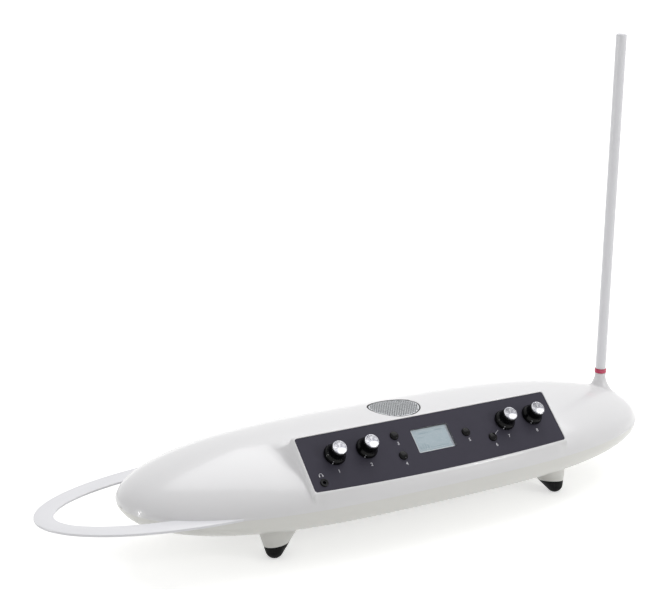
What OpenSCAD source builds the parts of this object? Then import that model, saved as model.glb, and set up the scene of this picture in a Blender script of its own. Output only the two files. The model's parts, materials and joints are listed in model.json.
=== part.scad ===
// Desktop theremin: a lens-shaped two-shell body on four splayed feet, a sloping control panel,
// a vertical pitch antenna on the right and a flat volume loop on the left.
// Millimetres. +X towards the pitch antenna, +Y to the back, +Z up.
// The origin is on the ground under the middle of the body.

/* [Body] */
// Length of the body, tip to tip
body_length = 648; // [636:1:660]
// Depth of the body, front to back
body_depth = 216.4; // [213:0.2:220]
// Height of the seam between the two shells
seam_z = 63.4; // [62:0.1:65]
// Height of the crown above the seam
crown_height = 50; // [49:0.5:52]
// Depth of the keel below the seam
keel_depth = 39.5; // [38.5:0.5:41]
// Wall of both shells
wall = 3; // [2.6:0.1:3.3]
// How far the lower shell's edge is set in from the upper one
seam_step = 0.6; // [0.2:0.1:1]
// Fullness of the outline along the length
outline_length_power = 3.04; // [2.8:0.02:3.3]
// Fullness of the outline across the depth
outline_depth_power = 2.18; // [2.1:0.02:2.3]
// How fast the crown falls towards the tips
tip_power = 0.45; // [0.42:0.01:0.48]
// Roundness of the upper shell's section
crown_power = 1.83; // [1.78:0.01:1.9]
// Roundness of the lower shell's section
keel_power = 2.51; // [2.4:0.01:2.6]

/* [Control panel] */
// Length of the control panel
panel_w = 313.6; // [309:0.2:318]
// Height of the control panel, measured up its slope
panel_h = 61.1; // [60:0.1:62]
// Thickness of the control panel
panel_t = 3; // [2.6:0.1:3.2]
// Corner radius of the control panel
panel_corner = 2.8; // [2:0.1:4]
// Depth of the panel's middle from the body's front
panel_in = 32.9; // [32.2:0.1:33.6]
// Height of the panel's middle
panel_z = 102.1; // [101.5:0.1:103]
// Slope of the panel from the horizontal
panel_slope = 42.2; // [41:0.1:43.5]
// Depth of the panel's face below the rim around it
panel_inset = 0.5; // [0.3:0.1:0.8]
// Width of the rim at the panel's two ends
rim_side = 2.2; // [1.8:0.1:3]
// Width of the flat rim above the panel
rim_top = 0.8; // [0.6:0.1:1.2]
// Radius of the ridge behind the panel
ridge_round = 2; // [1.5:0.1:2.6]
// Radius of the front edge under the panel
front_round = 6; // [5:0.1:7]
// Depth of the front face under the panel from the body's front
front_in = 5.9; // [5.4:0.1:6.4]
// Slope of the back of the ridge
back_slope = 41; // [40:0.5:44]
// Width of the ledge that the panel rests on
ledge_w = 3; // [2.5:0.1:3.5]
// Thickness of the ledge that the panel rests on
ledge_t = 2.5; // [2.2:0.1:3]

/* [Display] */
// Place of the display along the panel
lcd_x = -1.5; // [-2:0.1:-1]
// Length of the display window
lcd_w = 46; // [44:0.5:48]
// Height of the display window
lcd_h = 28; // [27:0.5:29]
// Height of the window's middle above the panel's middle
lcd_v = 2.2; // [1.5:0.1:2.6]
// Thickness of the window
window_t = 1.5; // [1.2:0.1:1.8]
// Margin of the display frame around the window
lcd_margin = 4; // [3.5:0.1:4.5]
// Depth of the display frame
lcd_frame_t = 5.5; // [5:0.1:6]

/* [Knobs] */
// Distance of the outer left knob from the panel's left end
outer_left_in = 36.3; // [35:0.1:38]
// Distance of the inner left knob from the panel's left end
inner_left_in = 74.1; // [73:0.1:76]
// Distance of the inner right knob from the panel's right end
inner_right_in = 64.5; // [63:0.1:66]
// Distance of the outer right knob from the panel's right end
outer_right_in = 27.6; // [26:0.1:29]
// Height of the knobs above the panel's middle
knob_v = 5.2; // [4.8:0.1:6]
// Radius of a knob's skirt
skirt_r = 12; // [11.4:0.1:12.6]
// Height of a knob's skirt
skirt_h = 5; // [4:0.1:6]
// Radius of a knob's grip
grip_r = 8.3; // [8:0.1:8.8]
// Height of a knob's grip above the panel
grip_h = 15; // [14:0.1:16]
// Radius of a knob's metal cap
cap_r = 7.4; // [7:0.1:7.6]
// How far a knob's cap stands proud
cap_proud = 1.5; // [1:0.1:1.8]
// Turn of the knobs' pointers from straight down the panel, clockwise, at rest
pointer_turn = 35; // [0:1:60]
// Gap between a knob and the panel
knob_gap = 0.6; // [0.4:0.1:0.9]
// Radius of a control shaft
shaft_r = 3; // [2.9:0.05:3.1]
// Radius of a control's threaded bush
bush_r = 3.9; // [3.8:0.05:4]
// Length of the bush outside the panel
bush_out = 3; // [2.6:0.1:3.2]
// Depth of the housing between panel and circuit board
board_gap = 8; // [7.6:0.1:8.4]

/* [Buttons] */
// Place of the upper left button along the panel
upper_left_x = -45.6; // [-46.6:0.5:-44.6]
// Height of the upper left button above the panel's middle
upper_left_v = 13; // [12:0.5:14]
// Place of the lower left button along the panel
lower_left_x = -44.9; // [-45.9:0.5:-43.9]
// Place of the upper right button along the panel
upper_right_x = 39.5; // [38.5:0.5:40.5]
// Height of the upper right button above the panel's middle
upper_right_v = 1.2; // [0.6:0.2:2]
// Place of the lower right button along the panel
lower_right_x = 68.9; // [68:0.5:70]
// Height of the two lower buttons, below the panel's middle
lower_v = -10.7; // [-11.7:0.5:-9.7]
// Radius of a button
button_r = 4.8; // [4.6:0.05:5]
// How far a button stands proud
button_proud = 2.4; // [2.2:0.1:2.8]
// How far a button travels
button_travel = 0.8; // [0.6:0.05:1]

/* [Headphone socket] */
// Distance of the headphone socket from the panel's left end
phones_in = 13.3; // [12.5:0.1:14.5]
// Height of the headphone socket, below the panel's middle
phones_v = -22.2; // [-22.5:0.1:-21.5]
// Radius of the headphone plug's bore
phones_bore_r = 1.8; // [1.75:0.01:1.85]
// Length of the headphone plug's bore
phones_bore_l = 14; // [13:0.1:14.5]
// Radius of the ring nut
phones_nut_r = 4.3; // [4:0.1:4.6]

/* [Loudspeaker] */
// Radius of the grille
grille_r = 29.2; // [28.6:0.1:29.6]
// Place of the grille behind the body's middle
grille_y = 7.1; // [6.5:0.1:8]
// Depth of the grille below the crown
grille_sink = 4.6; // [4.4:0.1:5]
// Thickness of the grille
grille_t = 1; // [0.8:0.1:1.2]
// Width of the ledge under the grille
grille_ledge = 2.2; // [2:0.1:2.6]
// Depth of the ledge under the grille
grille_ledge_t = 3; // [2.8:0.1:3.4]
// Radius of a grille hole
grille_hole_r = 1.3; // [1.1:0.05:1.4]
// Pitch of the grille holes
grille_pitch = 4.4; // [4.2:0.1:4.8]
// Depth of the loudspeaker behind its flange
speaker_depth = 18; // [17:0.5:19]
// Radius of the loudspeaker's magnet
magnet_r = 16; // [15:0.5:17]
// Height of the loudspeaker's magnet
magnet_h = 9; // [8:0.5:10]

/* [Pitch antenna] */
// Distance of the pitch antenna from the body's right tip
antenna_in = 36.6; // [35:0.2:40]
// Height of the antenna's tip
antenna_top = 510.1; // [480:0.5:540]
// Radius of the antenna rod
antenna_r = 6.1; // [5.9:0.05:6.4]
// Radius of the plug at the rod's foot
plug_r = 4; // [3.8:0.05:4.2]
// Length of the plug at the rod's foot
plug_l = 34; // [33:0.5:36]
// Height of the collar's top above the body
collar_rise = 17.9; // [17.2:0.1:18.6]
// Radius of the collar
collar_r = 6.5; // [6.4:0.05:6.8]
// Radius of the flare under the collar, at its foot
flare_r = 26; // [25:0.2:27]
// Height of the coloured ring
ring_h = 5; // [4.5:0.1:5.5]
// Radius of the coloured ring
ring_r = 7; // [6.8:0.05:7.3]
// Wall of the antenna's metal socket
socket_wall = 1; // [0.9:0.05:1.2]
// Length of the antenna's metal socket
socket_l = 36; // [35.2:0.2:37]

/* [Volume loop] */
// Distance of the loop's middle from the body's left tip
loop_in = 107.7; // [107:0.1:108.4]
// Half length of the loop, outside
loop_outer_a = 194.3; // [190:0.1:198]
// Half width of the loop, outside
loop_outer_b = 88.4; // [87.8:0.1:88.6]
// Half length of the loop, inside
loop_inner_a = 174.7; // [171:0.1:178]
// Half width of the loop, inside
loop_inner_b = 65.2; // [64.4:0.1:66]
// Thickness of the loop's plate
loop_t = 2.6; // [2.4:0.1:2.8]
// Height of the loop's middle above the seam
loop_rise = 0.9; // [0.7:0.1:1.1]
// Distance of the ends of the loop's arms from the body's left tip
loop_end_in = 134; // [133:0.1:135]
// Distance of the loop's screws from the ends of its arms
loop_screw_in = 8; // [7:0.1:9]
// Distance of each loop screw from the body's middle line
loop_screw_y = 76.8; // [76.4:0.1:77.2]

/* [Feet] */
// Distance of a foot's tip from the body's tip, along
foot_in = 143.6; // [140:0.2:148]
// Distance of a foot's tip from the body's middle, across
foot_y = 55.2; // [53:0.2:57]
// Radius of a foot's rounded tip
foot_r = 9.4; // [9:0.1:9.8]
// Taper of a leg, from its axis to its side
leg_taper = 25.8; // [25:0.1:26.6]
// Lean of a leg from the vertical
leg_lean = 21.3; // [20.5:0.1:22]
// Compass direction of a leg's lean
leg_heading = 47; // [45:0.5:49]
// Height of the joint between leg and rubber foot
rubber_h = 12.5; // [12:0.1:13.2]
// Depth of the flat worn under a foot
foot_flat = 0.4; // [0.3:0.05:0.6]
// Radius of a rubber foot's stem
stem_r = 4; // [3.8:0.05:4.2]
// Length of a rubber foot's stem
stem_l = 8; // [7:0.1:9]

/* [Back connectors] */
// Length of the connector plate
plate_w = 172; // [170:0.5:174]
// Height of the connector plate
plate_h = 21.5; // [21:0.1:21.8]
// Thickness of the connector plate
plate_t = 2.5; // [2.2:0.1:2.8]
// Depth of the connector plate's inner face from the body's back
plate_in = 24.2; // [23.6:0.1:25.2]
// Height of the connectors' middle
connector_z = 48.8; // [48.2:0.1:49.2]
// Place of the first large jack along the plate
first_jack_x = -62; // [-63:0.5:-61]
// Distance from one large jack to the next
jack_step = 24; // [23:0.2:24.6]
// Radius of a large jack's bore
jack_bore_r = 3.2; // [3.18:0.01:3.25]
// Length of a large jack's bore
jack_bore_l = 26; // [25:0.2:27]
// Place of the data socket along the plate
usb_x = 14; // [13:0.5:15]
// Place of the power inlet along the plate
inlet_x = 38; // [37:0.5:39]
// Place of the power button along the plate
power_x = 62; // [61:0.5:63]
// How far the power button travels
power_travel = 2.5; // [2:0.1:2.8]

/* [Inside] */
// Thickness of the circuit boards
board_t = 1.6; // [1.5:0.1:1.7]
// Half height of the large jacks' housings
jack_half = 7; // [6.8:0.1:7.2]
// Half length of the main circuit board
main_half = 88; // [87:0.5:90]
// Depth of the main circuit board, front to back
main_depth = 60.5; // [58:0.5:62]
// Distance of the four end screws of the shells from the body's tip, along
end_screw_in = 109; // [107:0.5:111]
// Distance of the four end screws of the shells from the body's middle, across
end_screw_y = 45; // [43:0.5:47]
// Distance of the two back screws of the shells from the body's middle, along
back_screw_x = 115; // [113:0.5:117]
// Distance of the two back screws of the shells from the body's back
back_screw_in = 28.2; // [27.2:0.5:29.7]
// Distance of the middle of each oscillator board from the body's tip
side_board_in = 79; // [77:0.5:81]
// Height of the oscillator boards' underside
side_board_z = 46; // [45:0.1:47]
// Radius of the thread for a microphone stand
stand_bore_r = 7.94; // [7.9:0.01:8]
// Length of the barrel of the stand's insert
stand_l = 12; // [11:0.1:13]
// Running clearance of shafts, buttons and plugs
running_fit = 0.05; // [0.03:0.01:0.08]
// Clearance of parts that drop into a seat
seat_fit = 0.1; // [0.08:0.01:0.15]

/* [Hidden] */

$fn = 64;
white = [0.94, 0.94, 0.92];
charcoal = [0.25, 0.24, 0.29];
satin = [0.87, 0.87, 0.9];
black = [0.05, 0.05, 0.06];
brass = [0.8, 0.65, 0.35];
board_green = [0.1, 0.3, 0.2];

half_length = body_length / 2;
half_depth = body_depth / 2;
lip = 2;
sections = 40;
fine_steps = 16;
coarse_steps = 8;
limit_inset = 1.2;

panel_y = panel_in - half_depth;
front_y = front_in - half_depth;
panel_end = panel_w / 2;
knob_x = [outer_left_in - panel_end, inner_left_in - panel_end, panel_end - inner_right_in,
    panel_end - outer_right_in];
phones_x = phones_in - panel_end;
antenna_x = half_length - antenna_in;
loop_x = loop_in - half_length;
loop_end_x = loop_end_in - half_length;
loop_screw_x = loop_end_x - loop_screw_in;
foot_x = half_length - foot_in;
end_screw_x = half_length - end_screw_in;
back_screw_y = half_depth - back_screw_in;
side_board_x = half_length - side_board_in;
plate_y = half_depth - plate_in;
button_at = [[upper_left_x, upper_left_v], [lower_left_x, lower_v],
    [upper_right_x, upper_right_v], [lower_right_x, lower_v]];
jack_x = [for (i = [0:2]) first_jack_x + i * jack_step];
case_screw_at = [for (x = [-1, 1], y = [-1, 0, 1])
    y == 0 ? [x * back_screw_x, back_screw_y] : [x * end_screw_x, y * end_screw_y]];

// ---- the lens-shaped body -------------------------------------------------------------------

function tip_fall(x, inset) = 1 - pow(abs(x) / (half_length - inset), outline_length_power);
function edge_y(x, inset) = (half_depth - inset) * pow(tip_fall(x, inset), 1 / outline_depth_power);
function half_height(up, inset) = (up ? crown_height : keel_depth) - inset;
function section_power(up) = up ? crown_power : keel_power;
function surface_h(x, y, up, inset) =
    half_height(up, inset) * pow(tip_fall(x, inset), tip_power)
    * pow(1 - pow(abs(y) / edge_y(x, inset), section_power(up)), 1 / section_power(up));
function crown_z(x, y) = seam_z + surface_h(x, y, true, 0);
function sign_pow(v, p) = sign(v) * pow(abs(v), p);

function section_point(x, turn, up, inset) =
    let (p = 2 / section_power(up))
    let (h = half_height(up, inset) * pow(tip_fall(x, inset), tip_power))
    [x, -edge_y(x, inset) * sign_pow(cos(turn), p),
     seam_z + (up ? 1 : -1) * h * sign_pow(sin(turn), p)];

// One closed half of the lens. A skirt carries it straight on past the seam.
module lens_half(up, inset, steps, skirt = 0) {
    last_turn = 89.5;
    loop_n = steps + 1 + (skirt > 0 ? 2 : 0);
    past = seam_z - (up ? skirt : -skirt);
    points = [for (i = [0:sections])
        let (x = (half_length - inset) * sin(last_turn * (2 * i / sections - 1)))
        let (y = edge_y(x, inset))
        for (p = concat(
            [for (j = [0:steps])
                let (turn = 180 * j / steps)
                j == 0 ? [x, -y, seam_z] :
                j == steps ? [x, y, seam_z] : section_point(x, turn, up, inset)],
            skirt > 0 ? [[x, y, past], [x, -y, past]] : [])) p];
    sides = [for (i = [0:sections - 1], j = [0:loop_n - 1])
        let (k = (j + 1) % loop_n)
        let (a = i * loop_n + j, b = i * loop_n + k, c = (i + 1) * loop_n + k, d = (i + 1) * loop_n + j)
        for (f = [[a, b, c], [a, c, d]]) f];
    caps = [for (j = [1:loop_n - 2], end = [0, 1])
        let (o = end * sections * loop_n)
        end == 0 ? [o, o + j + 1, o + j] : [o, o + j, o + j + 1]];
    faces = concat(sides, caps);
    polyhedron(points, up ? faces : [for (f = faces) [f[0], f[2], f[1]]]);
}

// ---- the panel's own frame: x along, y up the slope, z out of the face ----------------------

module on_panel() {
    translate([0, panel_y, panel_z]) rotate([panel_slope, 0, 0]) children();
}

// A point of the panel's frame in the body's Y-Z plane
function panel_point(v, w) =
    [panel_y + v * cos(panel_slope) - w * sin(panel_slope),
     panel_z + v * sin(panel_slope) + w * cos(panel_slope)];
function unit(v) = v / norm(v);
// Where the panel-parallel plane at height w meets the vertical plane at y
function slope_at(w, y) = (y - panel_y + w * sin(panel_slope)) / cos(panel_slope);

// Arc that rounds corner b of the path a, b, c
function corner_arc(a, b, c, r, steps) =
    let (u = unit(a - b), v = unit(c - b), half = acos(u * v) / 2)
    let (middle = b + unit(u + v) * r / sin(half), sweep = 90 - half)
    let (away = -unit(u + v), turn_way = sign(u[1] * v[0] - u[0] * v[1]))
    [for (i = [0:steps])
        let (t = turn_way * sweep * (2 * i / steps - 1))
        middle + r * [away[0] * cos(t) - away[1] * sin(t), away[0] * sin(t) + away[1] * cos(t)]];

face_t = panel_inset + panel_t + ledge_t;
ridge_turn = (panel_slope + back_slope) / 2;
ridge_v = panel_h / 2 + rim_top + ridge_round * tan(ridge_turn);
ridge = panel_point(ridge_v, panel_inset);
brow = panel_point(slope_at(panel_inset, front_y), panel_inset);
back_way = [cos(back_slope), -sin(back_slope)];
back_reach = 46;
hollow_floor = seam_z - lip;
wedge_half = panel_w / 2 + rim_side;

// Distance up the slope where the hollow's roof meets the back of the ridge
hollow_w = panel_inset - face_t;
back_normal = [sin(back_slope), cos(back_slope)];
hollow_v = (-wall - back_normal * (panel_point(0, hollow_w) - ridge))
    / (back_normal * [cos(panel_slope), sin(panel_slope)]);
hollow_ridge = panel_point(hollow_v, hollow_w);
hollow_front = front_y + wall;
hollow_brow = panel_point(slope_at(hollow_w, hollow_front), hollow_w);

module along_body(half) {
    rotate([90, 0, 90]) translate([0, 0, -half]) linear_extrude(2 * half) children();
}

module wedge() {
    foot = [front_y, seam_z];
    back = ridge + back_reach * back_way;
    along_body(wedge_half) polygon(concat(
        [foot],
        corner_arc(foot, brow, ridge, front_round, 5),
        corner_arc(brow, ridge, back, ridge_round, 6),
        [back, [back[0], seam_z]]));
}

module wedge_hollow() {
    back = hollow_ridge + back_reach * back_way;
    along_body(wedge_half - wall) polygon([
        [hollow_front, hollow_floor], hollow_brow, hollow_ridge, back, [back[0], hollow_floor]]);
}

// Exact rounded plate, centred, standing on z = 0
module rounded_plate(w, h, r, t) {
    linear_extrude(t) union() {
        square([w - 2 * r, h], center = true);
        square([w, h - 2 * r], center = true);
        for (x = [-1, 1], y = [-1, 1]) translate([x * (w / 2 - r), y * (h / 2 - r)]) circle(r);
    }
}

module block(w, d, h) {
    translate([-w / 2, -d / 2, 0]) cube([w, d, h]);
}

// ---- heights and radii that several pieces share --------------------------------------------

panel_back = -panel_t;
board_top = panel_back - board_gap;
shaft_foot = board_top + 2;
shaft_cover = 3;
grip_wall = 1.4;
cap_sink = 2;
housing_w = 11.4;
nut_r = 5.8;
nut_t = 2.4;
window_ledge = 0.6;
window_corner = 0.4;
lcd_glass_t = 2.4;
lcd_glass_rim = 1;
switch_w = 6;
switch_h = 3.5;
plunger_r = 1.75;
plunger_depth = 2.4;
phones_thread_r = 3;
phones_nose_r = 2.6;

body_crown = seam_z + crown_height;
grille_top = body_crown - grille_sink;
grille_seat = grille_top - grille_t;
speaker_top = grille_seat - grille_ledge_t;
speaker_ring_r = grille_r + 5.6;
speaker_screw_r = grille_r + 2.4;
speaker_flange_t = 1.5;
flange_foot = speaker_top - speaker_flange_t;
basket_foot = speaker_top - speaker_depth;
cone_r = 24;
cone_foot_r = 8;
collar_top = crown_z(antenna_x, 0) + collar_rise;
flare_top = collar_top - 4.6;
flare_foot = crown_z(antenna_x + flare_r, 0) - 0.8;
ring_top = collar_top + ring_h;
socket_r = plug_r + running_fit + socket_wall;
socket_foot = collar_top - socket_l;
socket_flange_r = socket_r + 3;
socket_flange_t = 2;
socket_lug = 2.5;
wire_edge = 3;
antenna_boss_r = socket_flange_r + 1;
antenna_boss_foot = socket_foot + socket_flange_t;
rod_gap = 0.3;

screw_r = 1.5;
screw_pilot_r = 1.5;
screw_head_r = 2.8;
screw_head_h = 2;
small_screw_l = 6;
case_screw_l = 16;
case_seat_z = seam_z - 8;
case_boss_r = 5;
case_post_r = 4.5;
pillar_r = 3.6;

loop_z = seam_z + loop_rise;
loop_under = loop_z - loop_t / 2;
loop_over = loop_z + loop_t / 2;
loop_boss_r = 5.5;

main_top = connector_z - jack_half;
main_under = main_top - board_t;
main_back = plate_y - 3.5;
main_front = main_back - main_depth;
main_middle = (main_front + main_back) / 2;
main_screw_at = [for (x = [-1, 1], y = [-1, 1])
    [x * (main_half - 5), main_middle + y * ((main_back - main_front) / 2 - 5)]];
side_half_l = 23;
side_half_w = 18;
side_screw_in = 4;
side_screw_at = [for (x = [1, -1], y = [-1, 1]) [x * side_board_x, y * (side_half_w - side_screw_in)]];

plate_low = connector_z - plate_h / 2;
tray_wall = 3;
tray_front = plate_y - 3;
tray_ledge_side = 7;
tray_ledge_low = 2;
plate_screw_x = plate_w / 2 - 3.5;

jack_thread_r = 4.6;
usb_w = 12;
usb_h = 10.8;
usb_l = 16;
inlet_w = 9;
inlet_h = 11;
inlet_l = 13.5;
inlet_r = 3.2;
inlet_drop = connector_z - main_top - inlet_h / 2;
switch_body = 9;
power_r = 3.6;
power_fit = 0.08;

keel_bottom = seam_z - keel_depth + seam_step;
stand_flange_r = 15;
stand_flange_t = 2;
stand_seat_z = keel_bottom + stand_flange_t + 0.6;
stand_barrel_r = 11.5;
stand_boss_r = 17;
stand_top = stand_seat_z + stand_l;

// ---- shells ---------------------------------------------------------------------------------

// Flared seat under the pitch antenna: a concave fillet from the collar down to the body
module antenna_flare() {
    steps = 8;
    low = [flare_r, flare_foot];
    high = [collar_r, flare_top];
    pull = [collar_r + 3, flare_foot + 10];
    curve = [for (i = [0:steps])
        let (t = i / steps) low * pow(1 - t, 2) + pull * 2 * t * (1 - t) + high * pow(t, 2)];
    translate([antenna_x, 0, 0]) rotate_extrude()
        polygon(concat([[0, flare_foot]], curve, [[collar_r, collar_top], [0, collar_top]]));
}

module case_pillars(r, low, high) {
    for (p = case_screw_at) translate([p[0], p[1], low]) cylinder(r = r, h = high - low);
}

module loop_band(grow) {
    turns = 96;
    function ellipse(a, b) = [for (i = [0:turns - 1]) [a * cos(360 * i / turns), b * sin(360 * i / turns)]];
    difference() {
        polygon(ellipse(loop_outer_a + grow, loop_outer_b + grow));
        polygon(ellipse(loop_inner_a - grow, loop_inner_b - grow));
    }
}

// The loop's flat band, cut off where its arms end inside the body
module loop_plate(grow) {
    reach = loop_outer_a + 10;
    translate([loop_x, 0, loop_under - grow]) linear_extrude(loop_t + 2 * grow)
        difference() {
            loop_band(grow);
            translate([loop_end_x - loop_x + grow, -reach]) square(2 * reach);
        }
}

module top_shell() {
    color(white) difference() {
        union() {
            difference() {
                union() {
                    lens_half(true, 0, fine_steps);
                    wedge();
                    antenna_flare();
                }
                lens_half(true, wall, coarse_steps, lip);
                wedge_hollow();
            }
            intersection() {
                lens_half(true, limit_inset, coarse_steps);
                union() {
                    case_pillars(case_post_r, seam_z, body_crown);
                    translate([0, grille_y, speaker_top]) cylinder(r = speaker_ring_r, h = crown_height);
                    translate([antenna_x, 0, antenna_boss_foot])
                        cylinder(r = antenna_boss_r, h = collar_rise + socket_l);
                }
            }
        }
        on_panel() {
            translate([0, 0, panel_back]) rounded_plate(
                panel_w + 2 * seat_fit, panel_h + 2 * seat_fit, panel_corner, panel_t + panel_inset + lip);
            translate([0, 0, -face_t - lip]) rounded_plate(
                panel_w - 2 * ledge_w, panel_h - 2 * ledge_w, panel_corner, face_t + lip);
        }
        translate([0, grille_y, grille_seat]) cylinder(r = grille_r + seat_fit, h = crown_height);
        translate([0, grille_y, speaker_top - lip])
            cylinder(r = grille_r - grille_ledge, h = crown_height);
        speaker_screw_places(speaker_top) translate([0, 0, -lip])
            cylinder(r = screw_pilot_r, h = lip + small_screw_l - speaker_flange_t + 0.3);
        translate([antenna_x, 0, socket_foot - lip]) cylinder(r = socket_r, h = socket_l + 2 * lip);
        case_pillars(screw_pilot_r, seam_z - lip, case_seat_z + case_screw_l + 0.5);
        loop_plate(seat_fit);
    }
}

// Upright solid of one leg and its foot: a leaning cone with a round tip
module leg_form(up_l) {
    rise = foot_r * sin(leg_taper);
    foot_ring = foot_r * cos(leg_taper);
    sphere(foot_r);
    translate([0, 0, -rise]) cylinder(
        r1 = foot_ring, r2 = foot_ring + (up_l + rise) * tan(leg_taper), h = up_l + rise);
}

// Frame of the front right leg: origin in the middle of its round tip, z up the leg
module on_leg() {
    translate([foot_x, -foot_y, foot_r - foot_flat])
        rotate([0, 0, -leg_heading]) rotate([0, -leg_lean, 0]) children();
}

// The half space below the joint of leg and rubber, a little higher in front and inside
module below_rubber_joint(grow) {
    reach = 60;
    up = (rubber_h - foot_r) / cos(leg_lean);
    on_leg() translate([0, 0, up])
        rotate([0, leg_lean, 0]) rotate([0, 0, leg_heading]) rotate([-10, 6.5, 0])
        translate([-reach, -reach, -2 * reach + grow]) cube(2 * reach);
}

module leg_stem(r, l) {
    on_leg() cylinder(r = r, h = foot_r + l);
}

module at_every_leg() {
    for (x = [0, 1], y = [0, 1]) mirror([x, 0, 0]) mirror([0, y, 0]) children();
}

module rubber_foot() {
    ground = 100;
    color(black) union() {
        difference() {
            intersection() {
                on_leg() leg_form(foot_r * 2);
                below_rubber_joint(0);
            }
            translate([0, -2 * ground, -ground]) cube([4 * ground, 4 * ground, ground]);
        }
        leg_stem(stem_r, stem_l);
    }
}

module connector_tray() {
    w = plate_w + 2 * seat_fit + 2 * tray_wall;
    low = plate_low - seat_fit - tray_wall;
    translate([-w / 2, tray_front, low]) cube([w, half_depth, seam_z - 0.4 - low]);
}

module connector_way() {
    w = plate_w + 2 * seat_fit;
    h = plate_h + 2 * seat_fit;
    translate([-w / 2, plate_y, plate_low - seat_fit]) cube([w, half_depth, h]);
    inner_w = plate_w - 2 * tray_ledge_side;
    inner_h = plate_h - 2 * tray_ledge_low;
    translate([-inner_w / 2, tray_front - lip, plate_low + tray_ledge_low])
        cube([inner_w, half_depth, inner_h]);
}

module bottom_shell() {
    leg_up = 34;
    color(white) difference() {
        union() {
            difference() {
                union() {
                    lens_half(false, seam_step, fine_steps);
                    at_every_leg() difference() {
                        on_leg() leg_form(leg_up);
                        below_rubber_joint(0);
                    }
                }
                lens_half(false, wall + seam_step, coarse_steps, lip);
            }
            intersection() {
                lens_half(false, limit_inset + seam_step, coarse_steps);
                union() {
                    case_pillars(case_boss_r, 0, seam_z);
                    for (y = [-1, 1]) translate([loop_screw_x, y * loop_screw_y, 0])
                        cylinder(r = loop_boss_r, h = loop_under);
                    for (p = main_screw_at) translate([p[0], p[1], 0]) cylinder(r = pillar_r, h = main_under);
                    for (p = side_screw_at) translate([p[0], p[1], 0])
                        cylinder(r = pillar_r, h = side_board_z);
                    cylinder(r = stand_boss_r, h = stand_top);
                    connector_tray();
                }
            }
        }
        connector_way();
        for (x = [-1, 1]) translate([x * plate_screw_x, plate_y + lip, connector_z])
            rotate([90, 0, 0]) cylinder(r = screw_pilot_r, h = tray_wall + 2 * lip);
        at_every_leg() leg_stem(stem_r + seat_fit, stem_l + seat_fit);
        case_pillars(screw_r + 0.2, 0, seam_z + lip);
        case_pillars(screw_head_r + 0.4, 0, case_seat_z);
        for (y = [-1, 1]) translate([loop_screw_x, y * loop_screw_y, loop_over - small_screw_l - 0.5])
            cylinder(r = screw_pilot_r, h = small_screw_l + lip);
        for (p = main_screw_at) translate([p[0], p[1], main_top - small_screw_l - 0.5])
            cylinder(r = screw_pilot_r, h = small_screw_l + lip);
        for (p = side_screw_at) translate([p[0], p[1], side_board_z + board_t - small_screw_l - 0.5])
            cylinder(r = screw_pilot_r, h = small_screw_l + lip);
        cylinder(r = stand_flange_r + seat_fit, h = stand_seat_z);
        cylinder(r = stand_barrel_r + seat_fit, h = stand_top + lip);
        loop_plate(seat_fit);
    }
}

// ---- control panel and what it carries ------------------------------------------------------

module panel_holes(below, above) {
    h = above - below;
    for (x = knob_x) translate([x, knob_v, below]) cylinder(r = bush_r + seat_fit, h = h);
    for (p = button_at) translate([p[0], p[1], below]) cylinder(r = button_r + running_fit, h = h);
    translate([phones_x, phones_v, below]) cylinder(r = phones_thread_r + seat_fit, h = h);
}

module at_display() {
    on_panel() translate([lcd_x, lcd_v, 0]) children();
}

module control_panel() {
    color(charcoal) difference() {
        on_panel() difference() {
            translate([0, 0, panel_back]) rounded_plate(panel_w, panel_h, panel_corner, panel_t);
            panel_holes(panel_back - lip, lip);
        }
        at_display() {
            translate([0, 0, -window_t]) block(lcd_w + 2 * seat_fit, lcd_h + 2 * seat_fit, window_t + lip);
            translate([0, 0, panel_back - lip])
                block(lcd_w - 2 * window_ledge, lcd_h - 2 * window_ledge, panel_t + 2 * lip);
        }
    }
}

module lcd_window() {
    color([0.8, 0.9, 0.92, 0.4]) at_display() translate([0, 0, -window_t])
        rounded_plate(lcd_w, lcd_h, window_corner, window_t);
}

// Glass of the display: its plate lies in the frame behind the panel, its lit step reaches up to the window
module lcd_glass() {
    step_w = lcd_w - 2 * (window_ledge + seat_fit);
    step_h = lcd_h - 2 * (window_ledge + seat_fit);
    color([0.65, 0.73, 0.75]) at_display() union() {
        translate([0, 0, panel_back - lcd_glass_t])
            rounded_plate(lcd_w + 2 * lcd_glass_rim, lcd_h + 2 * lcd_glass_rim, window_corner, lcd_glass_t);
        translate([0, 0, panel_back - lcd_glass_t / 2])
            rounded_plate(step_w, step_h, window_corner, panel_t - window_t - seat_fit + lcd_glass_t / 2);
    }
}

module lcd_frame() {
    glass_w = lcd_w + 2 * lcd_glass_rim;
    glass_h = lcd_h + 2 * lcd_glass_rim;
    pins = 12;
    pin_pitch = 2.54;
    color(black) at_display() union() {
        difference() {
            translate([0, 0, panel_back - lcd_frame_t])
                rounded_plate(lcd_w + 2 * lcd_margin, lcd_h + 2 * lcd_margin, 1, lcd_frame_t);
            translate([0, 0, panel_back - lcd_glass_t])
                block(glass_w + 2 * seat_fit, glass_h + 2 * seat_fit, lcd_glass_t + lip);
        }
        for (i = [0:pins - 1])
            translate([(i - (pins - 1) / 2) * pin_pitch, lcd_h / 2 + lcd_margin - 2, board_top])
            block(0.6, 0.6, board_gap - lcd_frame_t + 0.5);
    }
}

// Circuit board behind the panel, with a hole for the headphone socket's nose
module panel_board() {
    margin = 1;
    color(board_green) on_panel() translate([0, 0, board_top - board_t]) difference() {
        rounded_plate(panel_w - 2 * (ledge_w + margin), panel_h - 2 * (ledge_w + margin), 2, board_t);
        translate([phones_x, phones_v, -lip])
            cylinder(r = phones_nose_r + seat_fit, h = board_t + 2 * lip);
    }
}

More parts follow.
